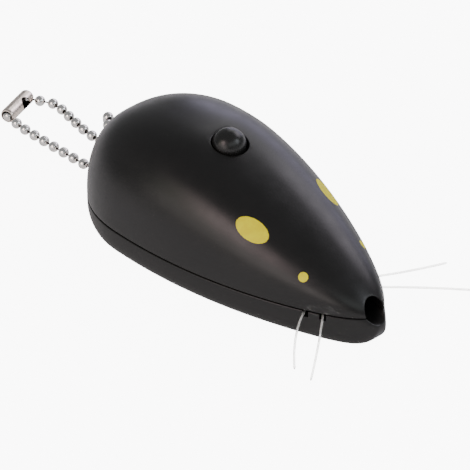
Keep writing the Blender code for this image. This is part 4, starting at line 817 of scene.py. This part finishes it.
def sleeve(finish, inside_painted_shade, head, head_neighbour, foot):
    """The rolled sleeve round the chain's end balls, open at one side for the chain's pin."""
    axis = (foot - head).normalized()
    side = head_neighbour - head
    side = (side - axis * side.dot(axis)).normalized()
    up = axis.cross(side)
    start = head - axis * SLEEVE_HEAD + Vector((0, 0, SLEEVE_LIFT))
    length = (foot - head).length + SLEEVE_HEAD + SLEEVE_FOOT
    lengths = [(run * SLEEVE_HEAD_RUN, share * SLEEVE_HEAD_CRIMP) for run, share in CRIMP_CURVE]
    lengths += [(length * step / 16, 0) for step in range(4, 14)]
    for run, share in CRIMP_CURVE[::-1]:
        lengths.append((length - run * SLEEVE_FOOT_RUN, share * SLEEVE_FOOT_CRIMP))
    profile = [(SLEEVE_RADIUS - crimp, along) for along, crimp in lengths]
    profile += [(SLEEVE_RADIUS - SLEEVE_WALL - crimp, along) for along, crimp in lengths[::-1]]
    barrel = moved(revolved("sleeve", profile, 96, looped=True), start, axis)
    middle = start + axis * SLEEVE_OPENING_SETBACK
    turn = math.radians(SLEEVE_OPENING_TURN)
    outwards = side * math.cos(turn) + up * math.copysign(math.sin(turn), up.z)
    opening_end = middle + outwards * SLEEVE_RADIUS * 2
    opening = rod("opening", SLEEVE_OPENING_RADIUS, middle, opening_end, 64)
    corners = []
    for along in (-SLEEVE_RADIUS, SLEEVE_OPENING_SETBACK):
        for out, across in ((0, -1), (2, -1), (2, 1), (0, 1)):
            spread = up * across * SLEEVE_SLIT / 2
            corners.append(start + axis * along + side * out * SLEEVE_RADIUS + spread)
    slit_faces = [(0, 1, 2, 3), (7, 6, 5, 4), *bridged(range(4), range(4, 8))]
    slit = mesh_from("slit", corners, slit_faces)
    changes = [("DIFFERENCE", slit), ("DIFFERENCE", opening)]
    part = carved("chain_sleeve", barrel, changes, finish, 50.0)
    # The faces that look towards the axis get a near-black nickel: painted shade for the sleeve's
    # inside
    part.data.materials.append(inside_painted_shade)
    for face in part.data.polygons:
        out = face.center - start
        out -= axis * out.dot(axis)
        if out.normalized().dot(face.normal) < -0.3:
            face.material_index = 1
    rounding(part, 0.00004, 50)
    return part


# Materials


class Finish:
    """A material with a short way to add nodes and join them."""

    def __init__(self, name, metallic=0.0, ior=1.5):
        self.material = bpy.data.materials.new(name)
        self.material.use_nodes = True
        self.tree = self.material.node_tree
        self.shader = self.tree.nodes["Principled BSDF"]
        self.feed(self.shader, {"Metallic": metallic, "IOR": ior})
        self.place = self.node("TexCoord").outputs["Object"]

    def plug(self, socket, value):
        """Joins another node's output to a socket, or sets a constant on it."""
        if isinstance(value, bpy.types.NodeSocket):
            self.tree.links.new(value, socket)
        else:
            socket.default_value = value

    def feed(self, node, inputs):
        for key, value in inputs.items():
            self.plug(node.inputs[key], value)

    def node(self, kind, inputs=None, **settings):
        made = self.tree.nodes.new(f"ShaderNode{kind}")
        for key, value in settings.items():
            setattr(made, key, value)
        self.feed(made, inputs or {})
        return made

    def maths(self, operation, *values):
        return self.node("Math", dict(enumerate(values)), operation=operation).outputs[0]

    def vector(self, operation, *values):
        made = self.node("VectorMath", dict(enumerate(values)), operation=operation)
        return next(socket for socket in made.outputs if socket.enabled)

    def noise(self, scale, detail=3.0, place=None):
        inputs = {"Vector": place or self.place, "Scale": scale, "Detail": detail}
        return self.node("TexNoise", inputs).outputs["Fac"]

    def stretched(self, scale, turn=(0.0, 0.0, 0.0)):
        """Places scaled along each axis, for grain that runs one way."""
        inputs = {"Vector": self.place, "Rotation": turn, "Scale": scale}
        return self.node("Mapping", inputs).outputs["Vector"]

    def ramp(self, value, low, high, to_low=0.0, to_high=1.0):
        inputs = {"Value": value, "From Min": low, "From Max": high}
        inputs.update({"To Min": to_low, "To Max": to_high})
        return self.node("MapRange", inputs, interpolation_type="SMOOTHSTEP").outputs["Result"]

    def mixed(self, share, first, second):
        """Two colours mixed, by the numbers of a Mix node's sockets."""
        made = self.node("Mix", data_type="RGBA")
        for number, value in ((0, share), (6, first), (7, second)):
            self.plug(made.inputs[number], value)
        return made.outputs[2]

    def bump(self, height, strength, distance):
        inputs = {"Height": height, "Strength": strength, "Distance": distance}
        return self.node("Bump", inputs).outputs["Normal"]

    def speckled(self, dark, light, scale):
        share = self.ramp(self.noise(scale), 0.35, 0.65)
        return self.mixed(share, (*dark, 1), (*light, 1))

    def rough(self, low, high, scale, detail=3.0):
        return self.ramp(self.noise(scale, detail), 0.3, 0.7, low, high)

    def done(self, **inputs):
        self.feed(self.shader, {key.replace("_", " "): value for key, value in inputs.items()})
        return self.material


# The print on the skin. The ear on the mouse's left lies further out and lower than its twin
EAR_CENTRE, EAR_LENGTH, EAR_WIDTH = (0.00737, 0.01025, 0.01984), 0.00390, 0.00228
EAR_ALONG, EAR_ACROSS = (0.94, -0.208, -0.27), (0, -0.792, 0.61)
FAR_EAR_OUT, FAR_EAR_DOWN = 0.00070, 0.00054
EYE_CENTRE, EYE_RADIUS = (0.02054, 0.00832, 0.01405), 0.00104


def print_mask(made):
    """1 inside the pad-printed ears and eyes, and 0 beside them."""
    parts = made.node("SeparateXYZ", {"Vector": made.place})
    side = made.maths("ABSOLUTE", parts.outputs["Y"])
    mirrored = {"X": parts.outputs["X"], "Y": side, "Z": parts.outputs["Z"]}
    folded = made.node("CombineXYZ", mirrored).outputs["Vector"]
    wobble = made.ramp(made.noise(2600.0, 2.0), 0.3, 0.7, -0.012, 0.012)
    far = made.maths("GREATER_THAN", parts.outputs["Y"], 0.0)
    shift = made.node("CombineXYZ", {"Y": made.maths("MULTIPLY", far, FAR_EAR_OUT),
                                     "Z": made.maths("MULTIPLY", far, -FAR_EAR_DOWN)})
    beside = made.vector("SUBTRACT", folded, shift.outputs["Vector"])
    from_ear = made.vector("SUBTRACT", beside, EAR_CENTRE)
    along = made.vector("DOT_PRODUCT", from_ear, EAR_ALONG)
    across = made.vector("DOT_PRODUCT", from_ear, EAR_ACROSS)
    along = made.maths("DIVIDE", along, EAR_LENGTH)
    across = made.maths("DIVIDE", across, EAR_WIDTH)
    squares = [made.maths("MULTIPLY", value, value) for value in (along, across)]
    squares = made.maths("ADD", *squares)
    ear = made.maths("ADD", made.maths("SQRT", squares), wobble)
    ear = made.ramp(ear, 1.015, 0.985)
    from_eye = made.vector("SUBTRACT", folded, EYE_CENTRE)
    eye = made.maths("DIVIDE", made.vector("LENGTH", from_eye), EYE_RADIUS)
    eye = made.ramp(made.maths("ADD", eye, wobble), 1.05, 0.95)
    return made.maths("MAXIMUM", ear, eye)


def body_plastic(name, printed):
    """Dark charcoal plastic with fine moulded grain, faint flow marks, dust and light scuffs."""
    made = Finish(name, ior=1.46)
    flow = made.stretched((40.0, 160.0, 160.0))
    cloud = made.ramp(made.noise(1.0, 4.0, flow), 0.3, 0.7)
    colour = made.mixed(cloud, (*BODY_DARK, 1), (*BODY_LIGHT, 1))
    specks = made.ramp(made.noise(1500.0, 2.0), 0.70, 0.76)
    thin = made.ramp(made.noise(90.0), 0.45, 0.7)
    dust = made.maths("MULTIPLY", made.maths("MULTIPLY", specks, thin), 0.35)
    colour = made.mixed(dust, colour, (0.05, 0.048, 0.045, 1))
    roughness = made.rough(BODY_ROUGHNESS - 0.03, BODY_ROUGHNESS + 0.03, 260.0, 4.0)
    scratches = made.stretched((120.0, 3200.0, 900.0), (0.4, 0.2, 0.7))
    scuff = made.ramp(made.noise(1.0, 2.0, scratches), 0.68, 0.78)
    scuff = made.maths("MULTIPLY", scuff, made.ramp(made.noise(70.0, 2.0), 0.5, 0.7))
    roughness = made.maths("ADD", roughness, made.maths("MULTIPLY", scuff, 0.10))
    height = made.noise(3800.0, 2.0)
    if printed:
        mask = print_mask(made)
        ink = made.speckled((0.94, 0.80, 0.0), (1.0, 0.89, 0.0), 700.0)
        colour = made.mixed(mask, colour, ink)
        roughness = made.maths("ADD", roughness, made.maths("MULTIPLY", mask, 0.30))
        height = made.maths("ADD", height, made.maths("MULTIPLY", mask, 1.2))
    normal = made.bump(height, 0.10, 0.00002)
    return made.done(Base_Color=colour, Roughness=roughness, Normal=normal)


def plain_plastic(name, dark, light, roughness):
    made = Finish(name, ior=1.48)
    spread = min(0.05, roughness / 3)
    return made.done(
        Base_Color=made.speckled(dark, light, 350.0),
        Roughness=made.rough(roughness - spread, roughness + spread, 420.0),
        Normal=made.bump(made.noise(2200.0), 0.12, 0.00002),
    )


def metal(name, dark, light, roughness, lines=(900.0, 900.0, 900.0), depth=0.12):
    """Metal with fine drawn lines, tarnish in patches and small pits."""
    made = Finish(name, metallic=1.0)
    stripes = made.noise(1.0, place=made.stretched(lines))
    tarnish = made.ramp(made.noise(600.0), 0.55, 0.75)
    colour = made.mixed(tarnish, (*light, 1), (*dark, 1))
    spread = roughness * 0.35
    worn = made.ramp(stripes, 0.3, 0.7, roughness - spread, roughness + spread)
    worn = made.maths("ADD", worn, made.maths("MULTIPLY", tarnish, 0.05))
    pits = made.ramp(made.noise(5200.0, 1.0), 0.66, 0.72, 0.0, -1.0)
    height = made.maths("ADD", stripes, pits)
    return made.done(Base_Color=colour, Roughness=worn, Normal=made.bump(height, depth, 0.00001))


def clear_plastic(name, dark, light, roughness, transmission):
    made = Finish(name)
    return made.done(
        Base_Color=made.speckled(dark, light, 500.0),
        Roughness=made.rough(roughness * 0.7, roughness * 1.3, 800.0),
        Transmission_Weight=transmission,
        Normal=made.bump(made.noise(1500.0, 2.0), 0.08, 0.00001),
    )


def board_laminate(name):
    """Green solder mask over copper tracks, with bare pads where the tracks end."""
    made = Finish(name)
    black, white = (0, 0, 0, 1), (1, 1, 1, 1)
    grid = {"Vector": made.place, "Scale": 170.0, "Mortar Size": 0.03, "Mortar": white}
    grid.update({"Color1": black, "Color2": black})
    track = made.ramp(made.node("TexBrick", grid).outputs["Color"], 0.3, 0.7)
    pads = made.node("TexVoronoi", {"Vector": made.place, "Scale": 420.0}).outputs["Distance"]
    pad = made.ramp(pads, 0.2, 0.16)
    green = made.mixed(track, (0.012, 0.10, 0.04, 1), (0.03, 0.20, 0.07, 1))
    colour = made.mixed(pad, green, (0.62, 0.60, 0.56, 1))
    height = made.maths("ADD", track, pad)
    return made.done(Base_Color=colour, Roughness=made.rough(0.3, 0.45, 900.0),
                     Normal=made.bump(height, 0.3, 0.00003))


def floor_white(name, glow):
    made = Finish(name)
    tone = made.speckled((0.86, 0.86, 0.86), (0.88, 0.88, 0.88), 3.0)
    return made.done(Base_Color=tone, Roughness=made.rough(0.85, 0.95, 5.0),
                     Emission_Color=(1, 1, 1, 1), Emission_Strength=glow,
                     Specular_IOR_Level=0.0)


BODY_DARK, BODY_LIGHT, BODY_ROUGHNESS = (0.0068, 0.0066, 0.0062), (0.0098, 0.0094, 0.0090), 0.31
EVEN_LINES, SLEEVE_LINES = (500.0, 500.0, 500.0), (200.0, 1600.0, 1600.0)

charcoal = body_plastic("charcoal_moulded", True)
button_black = plain_plastic(
    "button_black", (0.0085, 0.0085, 0.0080), (0.0125, 0.0125, 0.0118), 0.27
)
nickel = metal("nickel_plate", (0.80, 0.77, 0.73), (0.98, 0.96, 0.93), 0.12, EVEN_LINES, 0.05)
# Near-black nickel, painted shade: for the pins between the balls and for the sleeve's inside
painted_shade_nickel = metal("nickel_painted_shade", (0.05, 0.045, 0.04), (0.12, 0.11, 0.10), 0.30, EVEN_LINES, 0.05)
sleeve_nickel = metal(
    "nickel_sleeve", (0.76, 0.63, 0.55), (0.97, 0.85, 0.76), 0.28, SLEEVE_LINES, 0.08
)
nylon = clear_plastic("nylon_strand", (0.90, 0.89, 0.87), (0.96, 0.95, 0.93), 0.20, 0.70)

# Pieces that keep the solid's own mesh, and their finishes
CARRIED = {
    "battery_door": body_plastic("charcoal_moulded_plain", False),
    "switch_body light_housing":
        plain_plastic("satin_black", (0.012, 0.012, 0.013), (0.022, 0.022, 0.024), 0.45),
    "switch_plunger": plain_plastic("white_moulded", (0.72, 0.70, 0.66), (0.82, 0.81, 0.78), 0.42),
    "resistor": plain_plastic("ceramic_tan", (0.52, 0.38, 0.22), (0.66, 0.52, 0.33), 0.5),
    "lead_wire_red": plain_plastic("sheath_red", (0.38, 0.012, 0.012), (0.52, 0.022, 0.018), 0.42),
    "lead_wire_black":
        plain_plastic("sheath_black", (0.010, 0.010, 0.011), (0.020, 0.020, 0.020), 0.42),
    "circuit_board": board_laminate("board_laminate"),
    "battery_door_screw board_screw shell_screw_rear shell_screw_left shell_screw_right":
        metal("steel_turned", (0.36, 0.36, 0.37), (0.56, 0.56, 0.57), 0.26),
    "switch_dome battery_spring negative_contact positive_contact "
    "button_cell_1 button_cell_2 button_cell_3":
        metal("steel_sprung", (0.50, 0.49, 0.47), (0.74, 0.73, 0.70), 0.22),
    "light_lens": clear_plastic("lens_clear", (0.90, 0.92, 0.93), (0.96, 0.97, 0.98), 0.06, 0.95),
    "light_diode": clear_plastic("resin_red", (0.55, 0.01, 0.01), (0.75, 0.02, 0.02), 0.10, 0.6),
}


def attached(part, body, node_name):
    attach(part, body)
    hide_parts(node_name)


attached(upper_shell(charcoal), "mouse", "upper_shell")
attached(lower_shell(charcoal), "mouse", "lower_shell")
attached(button_cap(button_black), "button", "button_cap")
for whisker_node, whisker_facts in WHISKERS.items():
    strand = whisker(f"{whisker_node}_strand", *whisker_facts, nylon)
    attached(strand, "mouse", whisker_node)
link_places = [Vector(place) * MM for place in LINKS]
ball_chain(nickel, painted_shade_nickel, link_places)
sleeve_ends = (link_places[-1], link_places[-2], link_places[0])
chain_sleeve = sleeve(sleeve_nickel, painted_shade_nickel, *sleeve_ends)
attached(chain_sleeve, "chain_end", "chain_connector")
for node_names, node_finish in CARRIED.items():
    for node_name in node_names.split():
        carried = frame["nodes"][node_name]
        carried.data.materials.clear()
        carried.data.materials.append(node_finish)
for node_name in ("battery_door", "battery_door_screw", "light_housing", "switch_body"):
    rounding(frame["nodes"][node_name], 0.00008, 40)


# Floor, lights, world and camera

FLOOR_REACH = 4.0
FLOOR_SEEN_GLOW, FLOOR_BOUNCE_GLOW, WORLD_STRENGTH = 9.0, 0.24, 0.30
LIGHTS_CENTRE, VIEW_CENTRE = Vector((-0.006, 0, 0.012)), Vector((-0.006, 0, 0.010))
CAMERA_AZIMUTH, CAMERA_ELEVATION = -42.625, 35.334
CAMERA_DISTANCE, LIGHT_DISTANCE = 0.800, 0.6
CAMERA_SHIFT_RIGHT, CAMERA_SHIFT_UP, CAMERA_LENS = 0.002009, 0.002691, 293.49


def direction(azimuth, elevation):
    """The way to a lamp or to the camera, from two angles in degrees."""
    turn, rise = math.radians(azimuth), math.radians(elevation)
    level = math.cos(rise)
    return Vector((level * math.cos(turn), level * math.sin(turn), math.sin(rise)))


def floor(name, glow, height, seen):
    """A white sheet that either the camera sees, or the object is lit and reflected by."""
    mesh = bpy.data.meshes.new(name)
    signs = ((-1, -1), (1, -1), (1, 1), (-1, 1))
    corners = [(x * FLOOR_REACH, y * FLOOR_REACH, 0) for x, y in signs]
    mesh.from_pydata(corners, [], [(0, 1, 2, 3)])
    ground = placed(name, mesh, floor_white(name, glow))
    ground.location.z = height
    ground.visible_camera = ground.visible_transmission = seen
    ground.visible_diffuse = ground.visible_glossy = ground.visible_shadow = not seen


def area_light(name, azimuth, elevation, width, height, power, tint):
    away = direction(azimuth, elevation)
    lamp = bpy.data.lights.new(name, "AREA")
    lamp.shape, lamp.size, lamp.size_y = "RECTANGLE", width, height
    lamp.energy, lamp.color = power, tint
    holder = placed(name, lamp)
    holder.location = LIGHTS_CENTRE + away * LIGHT_DISTANCE
    holder.rotation_mode = "QUATERNION"
    holder.rotation_quaternion = (-away).to_track_quat("-Z", "Y")


def world():
    sky = bpy.data.worlds.new("studio")
    bpy.context.scene.world = sky
    sky.use_nodes = True
    light = sky.node_tree.nodes["Background"].inputs
    light["Color"].default_value = (0.96, 0.97, 1.0, 1)
    light["Strength"].default_value = WORLD_STRENGTH


def camera():
    away, turn = direction(CAMERA_AZIMUTH, CAMERA_ELEVATION), math.radians(CAMERA_AZIMUTH)
    right = Vector((-math.sin(turn), math.cos(turn), 0))
    up = away.cross(right)
    target = VIEW_CENTRE - right * CAMERA_SHIFT_RIGHT - up * CAMERA_SHIFT_UP
    data = bpy.data.cameras.new("camera")
    data.lens, data.sensor_width = CAMERA_LENS, 36.0
    data.clip_start, data.clip_end = 0.05, 20.0
    holder = placed("camera", data)
    axes = Matrix((right, up, away)).transposed().to_4x4()
    holder.matrix_world = Matrix.Translation(target + away * CAMERA_DISTANCE) @ axes
    bpy.context.scene.camera = holder


floor("floor_seen", FLOOR_SEEN_GLOW, -0.00002, True)
floor("floor_bounce", FLOOR_BOUNCE_GLOW, -0.00004, False)
for softbox in (
    ("softbox_near", -90, 36, 0.25, 0.24, 0.924, (1.0, 0.771, 0.765)),
    ("softbox_near_tail", -110, 30, 0.25, 0.24, 0.130, (0.93, 1.0, 0.75)),
    ("strip_near", -88, 14, 0.80, 0.20, 0.661, (1.0, 0.911, 0.852)),
    ("strip_near_nose", -77, 14, 0.30, 0.20, 0.199, (1.0, 0.864, 0.868)),
    ("strip_far", 115, 14, 0.55, 0.20, 0.612, (0.791, 0.746, 1.0)),
    ("softbox_far_nose", 30, 36, 0.25, 0.24, 0.62, (0.88, 0.93, 1.0)),
    ("softbox_far", 90, 36, 0.30, 0.24, 0.410, (0.938, 0.840, 1.0)),
    ("softbox_far_wide", 108, 36, 0.60, 0.24, 0.565, (1.0, 0.987, 0.995)),
    ("softbox_nose", -15, 36, 0.60, 0.24, 0.392, (0.909, 1.0, 0.994)),
):
    area_light(*softbox)
world()
camera()

bpy.context.view_layer.update()
